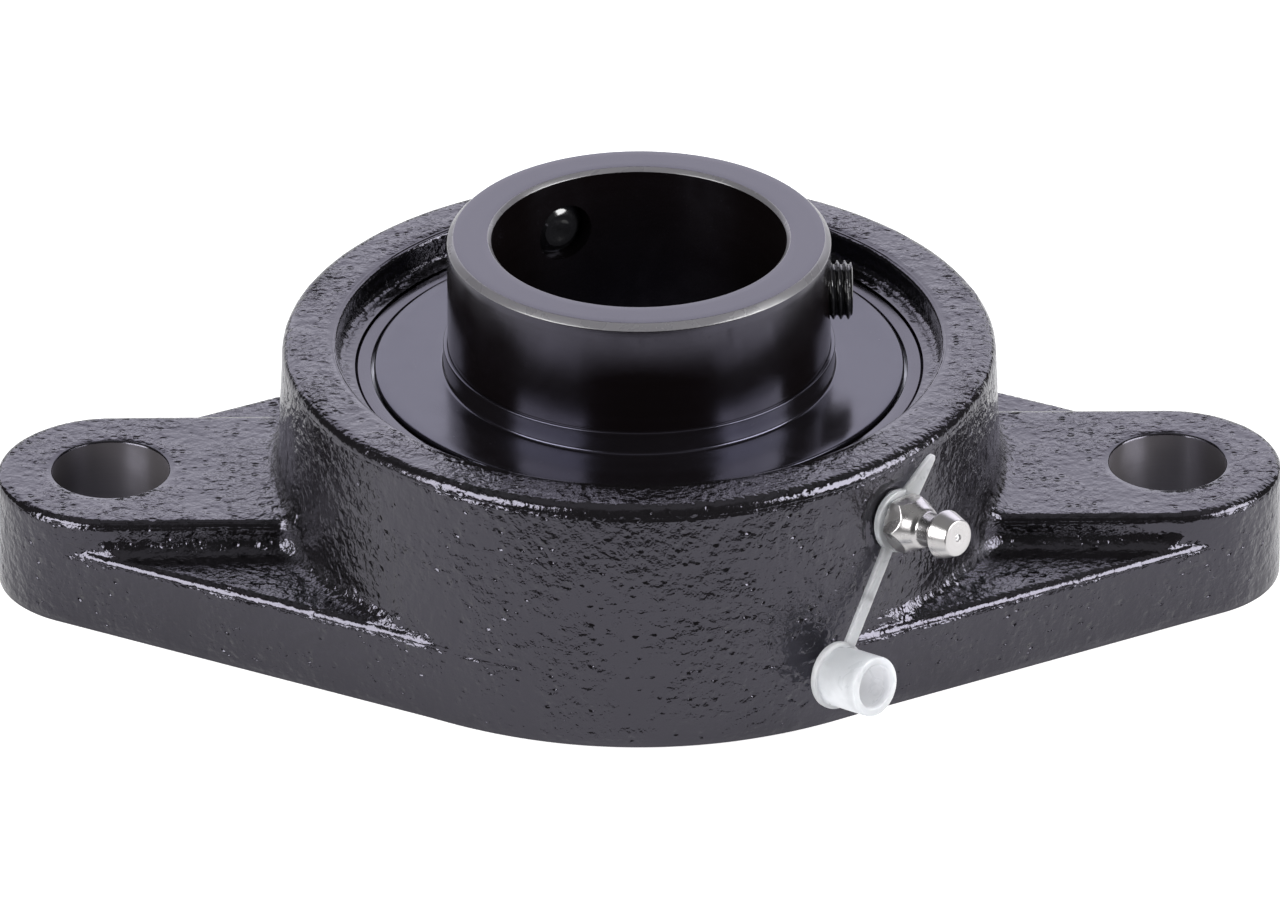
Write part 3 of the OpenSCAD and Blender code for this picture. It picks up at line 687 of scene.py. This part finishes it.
def netSurface(shape, low, high, cell):
    # A quad skin over the zero level of a distance function, drawn onto it afterwards
    axes = [np.arange(a, b + cell, cell) for a, b in zip(low, high)]
    grid = np.stack(np.meshgrid(*axes, indexing="ij"), -1)
    field = shape(grid).astype(np.float32)
    inside = field < 0
    size = np.array(field.shape)
    crossings = np.zeros(tuple(size - 1), np.int16)
    total = np.zeros(tuple(size - 1) + (3,), np.float32)
    edges = []
    for axis in range(3):
        lowSide = [slice(None)] * 3
        highSide = [slice(None)] * 3
        lowSide[axis], highSide[axis] = slice(0, -1), slice(1, None)
        change = inside[tuple(lowSide)] != inside[tuple(highSide)]
        spots = np.argwhere(change)
        a = field[tuple(lowSide)][change]
        b = field[tuple(highSide)][change]
        at = spots.astype(np.float32)
        at[:, axis] += a / (a - b)
        flip = a < 0
        edges.append((axis, spots, flip))
        others = [i for i in range(3) if i != axis]
        for da in (0, 1):
            for db in (0, 1):
                cellAt = spots.copy()
                cellAt[:, others[0]] -= da
                cellAt[:, others[1]] -= db
                good = np.all((cellAt >= 0) & (cellAt < size - 1), axis=1)
                index = tuple(cellAt[good].T)
                np.add.at(crossings, index, 1)
                np.add.at(total, index, at[good])
    used = crossings > 0
    number = np.full(crossings.shape, -1, np.int64)
    number[used] = np.arange(used.sum())
    points = total[used] / crossings[used][:, None] * cell + np.array(low)
    faces = []
    for axis, spots, flip in edges:
        others = [(axis + 1) % 3, (axis + 2) % 3]
        corner = []
        for da, db in ((0, 0), (1, 0), (1, 1), (0, 1)):
            cellAt = spots.copy()
            cellAt[:, others[0]] -= da
            cellAt[:, others[1]] -= db
            corner.append(number[tuple(np.clip(cellAt, 0, size - 2).T)])
        quad = np.stack(corner, 1)
        quad[flip] = quad[flip][:, ::-1]
        faces.append(quad)
    points = points.astype(float)
    for turn in range(3):
        value = shape(points)
        slope = np.stack([(shape(points + d) - shape(points - d)) / 0.02 for d in np.eye(3) * 0.01], -1)
        points -= (value / np.maximum((slope ** 2).sum(-1), 0.2))[:, None] * slope
    return points, np.concatenate(faces)


def housingCutters(form):
    span = form["boltSpan"] / 2
    top, floorZ, r = form["bossH"], form["recessZ"], form["recessR"]
    seat = form["seatR"]
    arc = []
    for z in np.linspace(form["rearZ"], floorZ, 16):
        arc.append((math.sqrt(seat ** 2 - (z - bearingCentre) ** 2), float(z)))
    fillet = [(r - form["recessFillet"] * (1 - math.sin(a)), floorZ + form["recessFillet"] * (1 - math.cos(a)))
              for a in np.linspace(0, math.pi / 2, 7)]
    lip = [(r + form["rimInner"] * (1 - math.cos(a)), top - form["rimInner"] * (1 - math.sin(a)))
           for a in np.linspace(0, math.pi / 2, 7)]
    profile = [(0, -6), (r, -6), (r, form["rearZ"])] + arc + fillet + lip
    profile += [(r + form["rimInner"], top + 6), (0, top + 6)]
    cavity = lathe("cavityCutter", profile, None, 360, False)
    slot = [(seat * math.cos(a), seat * math.sin(a)) for a in
            np.linspace(-math.asin(form["slotHalf"] / seat), math.asin(form["slotHalf"] / seat), 24)]
    slot += [(-px, -py) for px, py in slot]
    cutters = [cavity, prism("slotCutter", slot, -6, bearingCentre)]
    hole, edge, high = form["holeR"], form["holeChamfer"], form["armH"]
    for side in (-1, 1):
        bend = form["holeRound"]
        outline = [(0, -6), (hole + edge + 6, -6), (hole, edge)]
        outline += [(hole + bend * (1 - math.cos(a)), high - bend * (1 - math.sin(a))) for a in np.linspace(0, math.pi / 2, 9)]
        outline += [(hole + bend, high + 6), (0, high + 6)]
        cutters.append(lathe("holeCutter", outline, None, 160, False, Matrix.Translation((side * span * mm, 0, 0))))
    cutters.append(lathe("spotCutter", [(0, 0), (form["spotR"], 0), (form["spotR"], 20), (0, 20)], None, 96, False, toNipple))
    cutters.append(prism("faceCutter", [(-120, -80), (120, -80), (120, 80), (-120, 80)], -8, 0))
    return cutters


def makeCastSkin():
    tree, ids, start, end = addTree("castSkin", [
        ("Swell Size", "NodeSocketFloat", 150.0), ("Swell Depth", "NodeSocketFloat", 0.0001),
        ("Grain Size", "NodeSocketFloat", 620.0), ("Grain Depth", "NodeSocketFloat", 0.00008),
        ("Seed", "NodeSocketFloat", 3.0), ("Finish", "NodeSocketMaterial", None)])
    spot = put(tree, "GeometryNodeInputPosition")
    normal = put(tree, "GeometryNodeInputNormal")
    skin = put(tree, "GeometryNodeInputNamedAttribute", {"Name": "skin"}, data_type="FLOAT")
    moves = []
    for size, depth, detail in (("Swell Size", "Swell Depth", 2.0), ("Grain Size", "Grain Depth", 1.5)):
        noise = put(tree, "ShaderNodeTexNoise", {"Detail": detail, "Roughness": 0.5}, noise_dimensions="4D")
        link(tree, spot.outputs[0], noise.inputs["Vector"])
        link(tree, start.outputs[size], noise.inputs["Scale"])
        link(tree, start.outputs["Seed"], noise.inputs["W"])
        centred = mathNode(tree, "SUBTRACT", noise.outputs["Fac"], 0.5)
        moves.append(mathNode(tree, "MULTIPLY", centred, mathNode(tree, "MULTIPLY", start.outputs[depth], 2.0)))
    amount = mathNode(tree, "MULTIPLY", mathNode(tree, "ADD", moves[0], moves[1]), skin.outputs["Attribute"])
    push = put(tree, "ShaderNodeVectorMath", operation="SCALE")
    link(tree, normal.outputs[0], push.inputs[0])
    link(tree, amount, push.inputs["Scale"])
    place = put(tree, "GeometryNodeSetPosition")
    link(tree, start.outputs["Geometry"], place.inputs["Geometry"])
    link(tree, push.outputs[0], place.inputs["Offset"])
    closeTree(tree, start, end, place.outputs[0])
    return tree, ids


def makeHousing(form):
    half = form["boltSpan"] / 2 + form["lobeR"] + 2
    wide = form["bossR"] + 6
    points, faces = netSurface(lambda p: castForm(p, form), (-half, -wide, -3.2), (half, wide, form["bossH"] + 1.5), form["cell"])
    housing = makePiece("castHousing", points, faces, enamel)
    carve(housing, housingCutters(form))
    mesh = housing.data
    where = np.zeros(len(mesh.vertices) * 3)
    mesh.vertices.foreach_get("co", where)
    where = where.reshape(-1, 3) / mm
    off = np.abs(castForm(where, form))
    bolts = np.hypot(np.abs(where[:, 0]) - form["boltSpan"] / 2, where[:, 1]) - form["holeR"] - 0.2
    rim = np.hypot(where[:, 0], where[:, 1]) - form["recessR"] - form["rimInner"]
    local = np.c_[where * mm, np.ones(len(where))] @ np.array(toNipple.inverted()).T / mm
    spotR = np.hypot(local[:, 0], local[:, 1]) - form["spotR"]
    spotR[local[:, 2] < -form["spotR"]] = form["bossR"]
    edge = np.minimum.reduce([bolts, where[:, 2], np.abs(rim) + 0.2, np.abs(spotR)])
    skin = np.clip(edge / 1.1, 0, 1)
    skin = skin * skin * (3 - 2 * skin) * (off < 0.03)
    reach = np.hypot(where[:, 0], where[:, 1])
    recess = (where[:, 2] > form["recessZ"] - 0.01) & (reach < form["recessR"] + 0.3) & (off > 0.03)
    skin = np.where(recess, np.clip((reach - form["seatR"] + 1.3) / 0.6, 0, 0.8), skin)
    # Paint draws smooth over the rounded top edges
    normals = np.zeros(len(mesh.vertices) * 3)
    mesh.vertex_normals.foreach_get("vector", normals)
    tilt = normals.reshape(-1, 3)[:, 2]
    bends = ((form["plateH"], form["edgeR"]), (form["armH"], form["edgeR"]), (form["bossH"], form["rimR"]))
    near = np.any([np.abs(where[:, 2] - high + bend / 2) < 0.6 * bend for high, bend in bends], axis=0)
    skin = np.where(near & (tilt > 0.05) & (tilt < 0.97), skin * form["edgeSkin"], skin)
    # The corners between arms and boss stay rougher, and their pits get more painted shade
    slope = math.tan(math.radians(form["draft"]))
    aside = reach - form["bossR"] - (form["bossH"] - where[:, 2]) * slope
    beside = np.maximum(np.abs(aside - 0.8), np.abs(np.abs(where[:, 1]) - form["lobeR"] - 0.8))
    skin = skin * (1 + form["cornerSkin"] * np.clip(2 - beside / form["footR"], 0, 1))
    mesh.attributes.new("skin", "FLOAT", "POINT").data.foreach_set("value", skin.astype(np.float32))
    tree, ids = makeCastSkin()
    grow(housing, tree, ids, {"Swell Size": 170.0, "Swell Depth": 0.00010, "Grain Size": 560.0, "Grain Depth": 0.00007,
                              "Seed": 3.0, "Finish": enamel})
    bored = [makeTurned("boltHole" + side, turnedLooks["boredPaint"], (way * form["boltSpan"] / 2 * mm, 0, 0), (0, 0, 0))
             for side, way in (("Left", -1), ("Right", 1))]
    mesh = dress(housing, enamel, finishes["boredIron"], *bored).data
    for face in mesh.polygons:
        spot = Vector(face.center) / mm
        if math.hypot(abs(spot.x) - form["boltSpan"] / 2, spot.y) < form["holeR"] + form["holeBare"]:
            face.material_index = 2 if spot.x < 0 else 3
        elif spot.z < 0.02 and face.normal.z < -0.9:
            face.material_index = 1
    smoothOver(mesh, 38.0)
    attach(housing, "housing")
    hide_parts("housing")
    print("housing:", len(housing.data.polygons), "faces")


makeHousing(housingForm)

# Insert bearing rings, turned around the shaft axis
ringForm = {
    "bore": 20.0, "land": 26.0, "low": 2.0, "high": 51.2, "edge": 0.8, "boreEdge": 0.5, "trackC": 30.18, "trackR": 6.2,
    "screwZ": 42.8, "screwHole": 4.05, "screwAngle": 120.0,
    "outerR": 40.0, "outerW": 21.0, "outerLand": 34.0, "sealSeat": 36.4, "sealDepth": 3.6,
    "slingerR": 36.0, "slingerZ": 10.4, "slingerT": 0.6, "collar": 3.2, "lip": 0.9,
}


def makeInnerRing(form):
    low, high, edge, bore, land = form["low"], form["high"], form["edge"], form["bore"], form["land"]
    reach = math.sqrt(form["trackR"] ** 2 - (form["trackC"] - land) ** 2)
    turn = math.acos((form["trackC"] - land) / form["trackR"])
    track = [(form["trackC"] - form["trackR"] * math.cos(a), bearingCentre + form["trackR"] * math.sin(a))
             for a in np.linspace(-turn, turn, 25)]
    outside = soften([(land, bearingCentre + reach, 0), (land, high - edge, 0.15), (land - edge, high, 0.15),
                      (bore + form["boreEdge"], high, 0.12), (bore, high - form["boreEdge"], 0.12),
                      (bore, low + form["boreEdge"], 0.12), (bore + form["boreEdge"], low, 0.12),
                      (land - edge, low, 0.15), (land, low + edge, 0.15), (land, bearingCentre - reach, 0)], 3)
    profile = refine(outside, 1.2) + track[1:-1]
    ring = lathe("innerRing", profile, finishes["blackOxide"], 256, True, None, 30.0)
    cutters = []
    hole = form["screwHole"]
    for angle in (0, form["screwAngle"]):
        outline = [(0, 10), (hole, 10), (hole, land + 4), (0, land + 4)]
        aim = Matrix.Rotation(math.radians(angle), 4, "Z") @ Matrix.Translation((0, 0, form["screwZ"] * mm))
        cutters.append(lathe("screwHoleCutter", outline, None, 96, False, aim @ Matrix.Rotation(math.radians(90), 4, "Y")))
    carve(ring, cutters)
    dress(ring, finishes["blackOxide"], finishes["wornOxide"])
    for face in ring.data.polygons:
        r, z = math.hypot(face.center.x, face.center.y) / mm, face.center.z / mm
        outer = r - land + edge + max(z - high, low - z)
        inner = bore + form["boreEdge"] - r + max(z - high, low - z)
        if max(outer, inner) > -0.06:
            face.material_index = 1
    smoothOver(ring.data, 24.0)
    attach(ring, "shaft_ring")
    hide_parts("inner_ring")


def makeOuterRing(form):
    half, ball = form["outerW"] / 2, form["outerR"]
    face = math.sqrt(ball ** 2 - half ** 2)
    seal = half - form["sealDepth"]
    arc = [(math.sqrt(ball ** 2 - z * z), z) for z in np.linspace(-half + 0.4, half - 0.4, 40)]
    inside = [(face - 0.4, half, 0), (form["sealSeat"], half, 0.15), (form["sealSeat"], seal, 0), (form["outerLand"], seal, 0),
              (form["outerLand"], -seal, 0), (form["sealSeat"], -seal, 0), (form["sealSeat"], -half, 0.15), (face - 0.4, -half, 0)]
    profile = [(float(r), float(z) + bearingCentre) for r, z in arc + soften(inside, 3)]
    ring = lathe("outerRing", profile, finishes["ringBlack"], 256, True, None, 26.0)
    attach(ring, "insert")
    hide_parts("outer_ring")


def makeSlinger(name, node, side, form):
    land, z, t = form["land"], form["slingerZ"], form["slingerT"]
    outer = form["slingerR"]
    profile = soften([(land, z, 0), (land, z + t + form["collar"], 0.12), (land + t, z + t + form["collar"], 0.25),
                      (land + t, z + t, 0.5), (outer, z + t, 0.45), (outer, z - form["lip"], 0.12),
                      (outer - t, z - form["lip"], 0.12), (outer - t, z, 0.2), (land, z, 0)], 5)[:-1]
    profile = [(r, bearingCentre + side * h) for r, h in profile]
    ring = lathe(name, refine(profile + profile[:1], 1.5)[:-1], finishes["slingerBlack"], 256, True, None, 40.0)
    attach(ring, "shaft_ring")
    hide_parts(node)


makeInnerRing(ringForm)
makeOuterRing(ringForm)
makeSlinger("slingerFront", "slinger_front", 1, ringForm)
makeSlinger("slingerRear", "slinger_rear", -1, ringForm)
print("bearing rings made")

# Set screws: the thread is raised on a plain shank
screwForm = {"crest": 4.0, "depth": 0.54, "pitch": 1.0, "length": 8.0, "point": 2.4, "cupR": 1.4, "socket": 4.0,
             "socketDepth": 4.0, "start": 20.9, "fade": 0.5, "land": 0.12}


def makeThread():
    tree, ids, start, end = addTree("screwThread", [
        ("Pitch", "NodeSocketFloat", 0.001), ("Depth", "NodeSocketFloat", 0.0005), ("From", "NodeSocketFloat", 0.0),
        ("To", "NodeSocketFloat", 0.008), ("Fade", "NodeSocketFloat", 0.0005), ("Flank", "NodeSocketFloat", 0.003),
        ("Finish", "NodeSocketMaterial", None)])
    spot = put(tree, "GeometryNodeInputPosition")
    parts = put(tree, "ShaderNodeSeparateXYZ")
    link(tree, spot.outputs[0], parts.inputs[0])
    angle = mathNode(tree, "ARCTAN2", parts.outputs[1], parts.outputs[0])
    rise = mathNode(tree, "DIVIDE", parts.outputs[2], start.outputs["Pitch"])
    turn = mathNode(tree, "FRACT", mathNode(tree, "SUBTRACT", rise, mathNode(tree, "DIVIDE", angle, 2 * math.pi)))
    tooth = mathNode(tree, "ABSOLUTE", mathNode(tree, "MULTIPLY_ADD", turn, 2.0, -1.0))
    tooth = ramp(tree, tooth, 0.18, 0.82, 1.0, 0.0, False)
    early = mathNode(tree, "DIVIDE", mathNode(tree, "SUBTRACT", parts.outputs[2], start.outputs["From"]), start.outputs["Fade"])
    late = mathNode(tree, "DIVIDE", mathNode(tree, "SUBTRACT", start.outputs["To"], parts.outputs[2]), start.outputs["Fade"])
    room = put(tree, "ShaderNodeClamp")
    link(tree, mathNode(tree, "MINIMUM", early, late), room.inputs[0])
    flat = put(tree, "ShaderNodeCombineXYZ")
    link(tree, parts.outputs[0], flat.inputs[0])
    link(tree, parts.outputs[1], flat.inputs[1])
    outward = put(tree, "ShaderNodeVectorMath", operation="NORMALIZE")
    link(tree, flat.outputs[0], outward.inputs[0])
    reach = put(tree, "ShaderNodeVectorMath", operation="LENGTH")
    link(tree, flat.outputs[0], reach.inputs[0])
    isFlank = mathNode(tree, "GREATER_THAN", reach.outputs["Value"], start.outputs["Flank"])
    height = mathNode(tree, "MULTIPLY", mathNode(tree, "MULTIPLY", tooth, room.outputs[0]), start.outputs["Depth"])
    push = put(tree, "ShaderNodeVectorMath", operation="SCALE")
    link(tree, outward.outputs[0], push.inputs[0])
    link(tree, mathNode(tree, "MULTIPLY", height, isFlank), push.inputs["Scale"])
    place = put(tree, "GeometryNodeSetPosition")
    link(tree, start.outputs["Geometry"], place.inputs["Geometry"])
    link(tree, push.outputs[0], place.inputs["Offset"])
    closeTree(tree, start, end, place.outputs[0])
    return tree, ids


def makeScrew(name, node, body, angle, tree, ids, form):
    root = form["crest"] - form["depth"]
    long, point = form["length"], form["point"]
    flank = refine([(root, root - point), (root, long - form["land"])], form["pitch"] / 14)
    profile = [(0, form["cupR"] * 0.8), (form["cupR"], 0), (point, 0)] + flank
    profile += soften([(root, long - form["land"], 0), (root - form["land"], long, 0.05), (form["socket"] * 0.62, long, 0.1), (0, long, 0)], 2)[1:]
    screw = lathe(name, profile, None, 120, False, None, 40.0)
    finish = makeTurned(name + "Black", turnedLooks["screwBlack"], Vector((0, 0, ringForm["screwZ"])) * mm,
                        Euler((0, math.radians(90), math.radians(angle))))
    grow(screw, tree, ids, {"Pitch": form["pitch"] * mm, "Depth": form["depth"] * mm, "From": (root - point - 0.2) * mm,
                            "To": (long + 0.1) * mm, "Fade": form["fade"] * mm, "Flank": (root - 0.02) * mm, "Finish": finish})
    across = form["socket"] / 2 / math.cos(math.radians(30))
    hexagon = [(across * math.cos(math.radians(60 * i)), across * math.sin(math.radians(60 * i))) for i in range(6)]
    carve(screw, [prism("socketCutter", hexagon, long - form["socketDepth"], long + 2)])
    aim = Matrix.Rotation(math.radians(angle), 4, "Z") @ Matrix.Translation((form["start"] * mm, 0, ringForm["screwZ"] * mm))
    screw.data.transform(aim @ Matrix.Rotation(math.radians(90), 4, "Y"))
    smoothOver(screw.data, 40.0)
    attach(screw, body)
    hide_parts(node)


threadTree, threadIds = makeThread()
makeScrew("setScrewRight", "set_screw_1", "screw_1", 0, threadTree, threadIds, screwForm)
makeScrew("setScrewLeft", "set_screw_2", "screw_2", ringForm["screwAngle"], threadTree, threadIds, screwForm)
print("set screws made")

# Grease nipple with its check ball and spring
nippleForm = {
    "shankR": 3.0, "shankLow": -6.0, "hexLow": 1.5, "hexTop": 4.55, "across": 7.0, "hexRound": 3.325, "hexBevel": 60.0,
    "bevelR": 2.75, "bevelH": 1.2, "neckR": 2.294, "neckLow": 6.2, "neckTop": 8.3, "headR": 3.3, "headLow": 9.4, "headFlat": 0.1, "tipR": 2.38, "tipEdge": 0.12,
    "tip": 12.0, "mouthR": 0.5, "mouthH": 0.12, "passageR": 1.1, "passageLow": 4.6,
    "ballR": 1.0, "ballU": 10.94, "springR": 0.85, "wireR": 0.15, "springLow": 4.84, "springLong": 5.0, "springTurns": 6.0,
}


def makeNipple(form):
    top, tip = form["hexTop"], form["tip"]
    count = 192
    verts, faces, rows = [], [], []

    def addRow(z, radii):
        rows.append(list(range(len(verts), len(verts) + count)))
        for step, r in enumerate(radii):
            angle = 2 * math.pi * step / count
            verts.append((r * math.cos(angle), r * math.sin(angle), z))

    theta = np.arange(count) / count * 2 * math.pi
    hexR = form["across"] / 2 / np.cos((theta + math.pi / 6) % (math.pi / 3) - math.pi / 6)
    addRow(form["shankLow"], np.full(count, form["shankR"]))
    addRow(form["hexLow"], np.full(count, form["shankR"]))
    lowR = form["across"] / 2 * 1.02
    for z in np.linspace(form["hexLow"], top, 40):
        bevel = form["hexRound"] + (top - z) / math.tan(math.radians(form["hexBevel"]))
        under = lowR + (z - form["hexLow"]) / math.tan(math.radians(30))
        addRow(float(z), np.minimum(hexR, min(bevel, under)))
    turned = soften([(form["hexRound"], top, 0), (form["bevelR"], top + form["bevelH"], 0.2),
                     (form["neckR"], form["neckLow"], 0.2), (form["neckR"], form["neckTop"], 0.3),
                     (form["headR"], form["headLow"], 0.1), (form["headR"], form["headLow"] + form["headFlat"], 0.1),
                     (form["tipR"] + form["tipEdge"], tip - form["tipEdge"], 0.1), (form["tipR"], tip, 0.1),
                     (form["mouthR"], tip, 0.04), (form["mouthR"], tip - form["mouthH"], 0),
                     (form["passageR"], tip - form["mouthH"] - form["passageR"] + form["mouthR"], 0),
                     (form["passageR"], form["passageLow"], 0)], 4)
    for r, z in turned:
        addRow(z, np.full(count, r))
    for low, high in zip(rows, rows[1:]):
        for step in range(count):
            after = (step + 1) % count
            faces.append((low[step], low[after], high[after], high[step]))
    faces.append(tuple(rows[0]))
    faces.append(tuple(rows[-1]))
    nipple = makePiece("greaseNipple", verts, faces, finishes["nickel"], toNipple, 24.0)
    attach(nipple, "housing")
    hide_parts("grease_nipple")

    arc = [(form["ballR"] * math.sin(a), form["ballU"] - form["ballR"] * math.cos(a)) for a in np.linspace(0, math.pi, 25)]
    arc[0], arc[-1] = (0, arc[0][1]), (0, arc[-1][1])
    ball = lathe("checkBall", arc, finishes["ballSteel"], 48, False, toNipple)
    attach(ball, "check_ball")
    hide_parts("nipple_check_ball")


def makeSpring(form):
    tree, ids, start, end = addTree("springCoil", [
        ("Turns", "NodeSocketFloat", 6.0), ("Radius", "NodeSocketFloat", 0.001), ("Length", "NodeSocketFloat", 0.005),
        ("Wire", "NodeSocketFloat", 0.0002), ("Finish", "NodeSocketMaterial", None)])
    helix = put(tree, "GeometryNodeCurveSpiral", {"Resolution": 24})
    for label, socket in (("Turns", "Rotations"), ("Radius", "Start Radius"), ("Radius", "End Radius"), ("Length", "Height")):
        link(tree, start.outputs[label], helix.inputs[socket])
    round = put(tree, "GeometryNodeCurvePrimitiveCircle", {"Resolution": 10})
    link(tree, start.outputs["Wire"], round.inputs["Radius"])
    tube = put(tree, "GeometryNodeCurveToMesh", {"Fill Caps": True})
    link(tree, helix.outputs[0], tube.inputs["Curve"])
    link(tree, round.outputs[0], tube.inputs["Profile Curve"])
    closeTree(tree, start, end, tube.outputs[0])
    spring = makePiece("nippleSpring", [(0, 0, 0), (1, 0, 0), (0, 1, 0)], [(0, 1, 2)], finishes["springSteel"])
    grow(spring, tree, ids, {"Turns": form["springTurns"], "Radius": form["springR"] * mm, "Wire": form["wireR"] * mm,
                             "Length": (form["springLong"] - 2 * form["wireR"]) * mm, "Finish": finishes["springSteel"]})
    spring.data.transform(toNipple @ Matrix.Translation((0, 0, (form["springLow"] + form["wireR"]) * mm)))
    smoothOver(spring.data, 60.0)
    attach(spring, "housing")
    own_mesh(spring)
    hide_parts("nipple_spring")


makeNipple(nippleForm)
makeSpring(nippleForm)
print("nipple made")

# Dust cap: ring with pull tab, strap in two lengths, cup
capForm = {"low": 0.25, "thick": 1.0, "holeR": 3.1, "ringR": 4.35, "bend": 5.2, "strapLong": 12.0, "strapW": 1.7,
           "flangeR": 4.6, "cupR": 4.1, "cupInR": 3.35, "cupH": 7.8, "tabFrom": 3.6, "tabLong": 6.2, "tabLift": 12.0,
           "tabRoot": 3.0, "tabTip": 1.2, "beadR": 2.95, "beadH": 0.9, "beadSlope": 0.9, "soft": 0.3, "bendHalf": 1.1}


def strapSection(width, thick, soft, steps=4):
    half, high = width / 2, thick / 2
    outline = []
    for cx, cy, begin in ((half - soft, high - soft, 0), (soft - half, high - soft, 90), (soft - half, soft - high, 180), (half - soft, soft - high, 270)):
        for step in range(steps + 1):
            angle = math.radians(begin + 90 * step / steps)
            outline.append((cx + soft * math.cos(angle), cy + soft * math.sin(angle)))
    return outline


def sweep(name, stations, material, place, sharp=50.0):
    # Each station is (x, z of the middle, width, thickness, softness)
    verts, faces, rows = [], [], []
    for x, z, width, thick, soft in stations:
        outline = strapSection(width, thick, soft)
        rows.append(list(range(len(verts), len(verts) + len(outline))))
        verts += [(x, y, z + h) for y, h in outline]
    for low, high in zip(rows, rows[1:]):
        count = len(low)
        faces += [(low[i], low[(i + 1) % count], high[(i + 1) % count], high[i]) for i in range(count)]
    faces += [tuple(rows[0]), tuple(rows[-1])]
    return makePiece(name, verts, faces, material, place, sharp)


def makeDustCap(form):
    low, thick, soft = form["low"], form["thick"], form["soft"]
    middle = low + thick / 2
    ringLine = soften([(form["holeR"], low, 0), (form["ringR"], low, soft), (form["ringR"], low + thick, soft),
                       (form["holeR"], low + thick, soft), (form["holeR"], low, 0)], 4)[:-1]
    ring = lathe("dustCapRing", ringLine, capClear, 128, True, toStrap, 40.0)
    rise = math.tan(math.radians(form["tabLift"]))
    stations = []
    for t in np.linspace(0, 1, 14):
        width = form["tabRoot"] + (form["tabTip"] - form["tabRoot"]) * t
        end = 1 - max(0, (t - 0.9) / 0.1) ** 2 * 0.35
        stations.append((-form["tabFrom"] - form["tabLong"] * t, middle + form["tabLong"] * t * rise,
                         width * end, thick * (1 - 0.2 * t) * end, soft * end))
    tab = sweep("pullTab", stations, capThinShaded, toStrap)
    for piece in (ring, tab):
        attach(piece, "cap_ring")
    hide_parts("dust_cap_ring")

    halfway = form["bend"] + form["strapLong"] / 2
    reach = 2 * form["bend"] + form["strapLong"]
    spans = [("strapNear", "cap_ring", "cap_strap", form["ringR"] - 0.35, halfway, form["bend"]),
             ("strapFar", "cap_strap", "cap_cup", halfway, reach - form["flangeR"] + 0.35, form["bend"] + form["strapLong"])]
    for name, first, second, begin, stop, bend in spans:
        count = 40
        stations = [(begin + (stop - begin) * i / count, middle, form["strapW"], thick, soft) for i in range(count + 1)]
        strap = sweep(name, stations, capThinShaded, toStrap)
        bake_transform(strap)
        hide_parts("dust_cap_strap")

    wall = soften([(0, low, 0), (form["flangeR"], low, soft), (form["flangeR"], low + thick, 0.25), (form["cupR"], low + thick, 0.2),
                   (form["cupR"], low + form["cupH"], 0.3), (form["beadR"], low + form["cupH"], 0.3),
                   (form["beadR"], low + form["cupH"] - form["beadH"], 0.3),
                   (form["cupInR"], low + form["cupH"] - form["beadH"] - form["beadSlope"], 0.3),
                   (form["cupInR"], low + thick, 0.4), (0, low + thick, 0)], 4)
    cup = lathe("dustCapCup", refine(wall, 1.0), capMilky, 128, False, toStrap @ Matrix.Translation((reach * mm, 0, 0)), 40.0)
    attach(cup, "cap_cup")
    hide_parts("dust_cap_cup")


makeDustCap(capForm)
print("dust cap made")

# Hidden pieces keep their solids and get a finish
hiddenFinishes = {"cage_front": "cageSteel", "cage_rear": "cageSteel", "cage_rivets": "cageSteel",
                  "seal_core_front": "sealSteel", "seal_core_rear": "sealSteel"}
hiddenFinishes.update({"ball_%d" % i: "ballSteel" for i in range(1, 10)})
for node, finish in hiddenFinishes.items():
    nodes[node].data.materials.clear()
    nodes[node].data.materials.append(finishes[finish])
for node in ("seal_lip_front", "seal_lip_rear"):
    nodes[node].data.materials.clear()
    nodes[node].data.materials.append(rubber)
print("hidden pieces dressed")
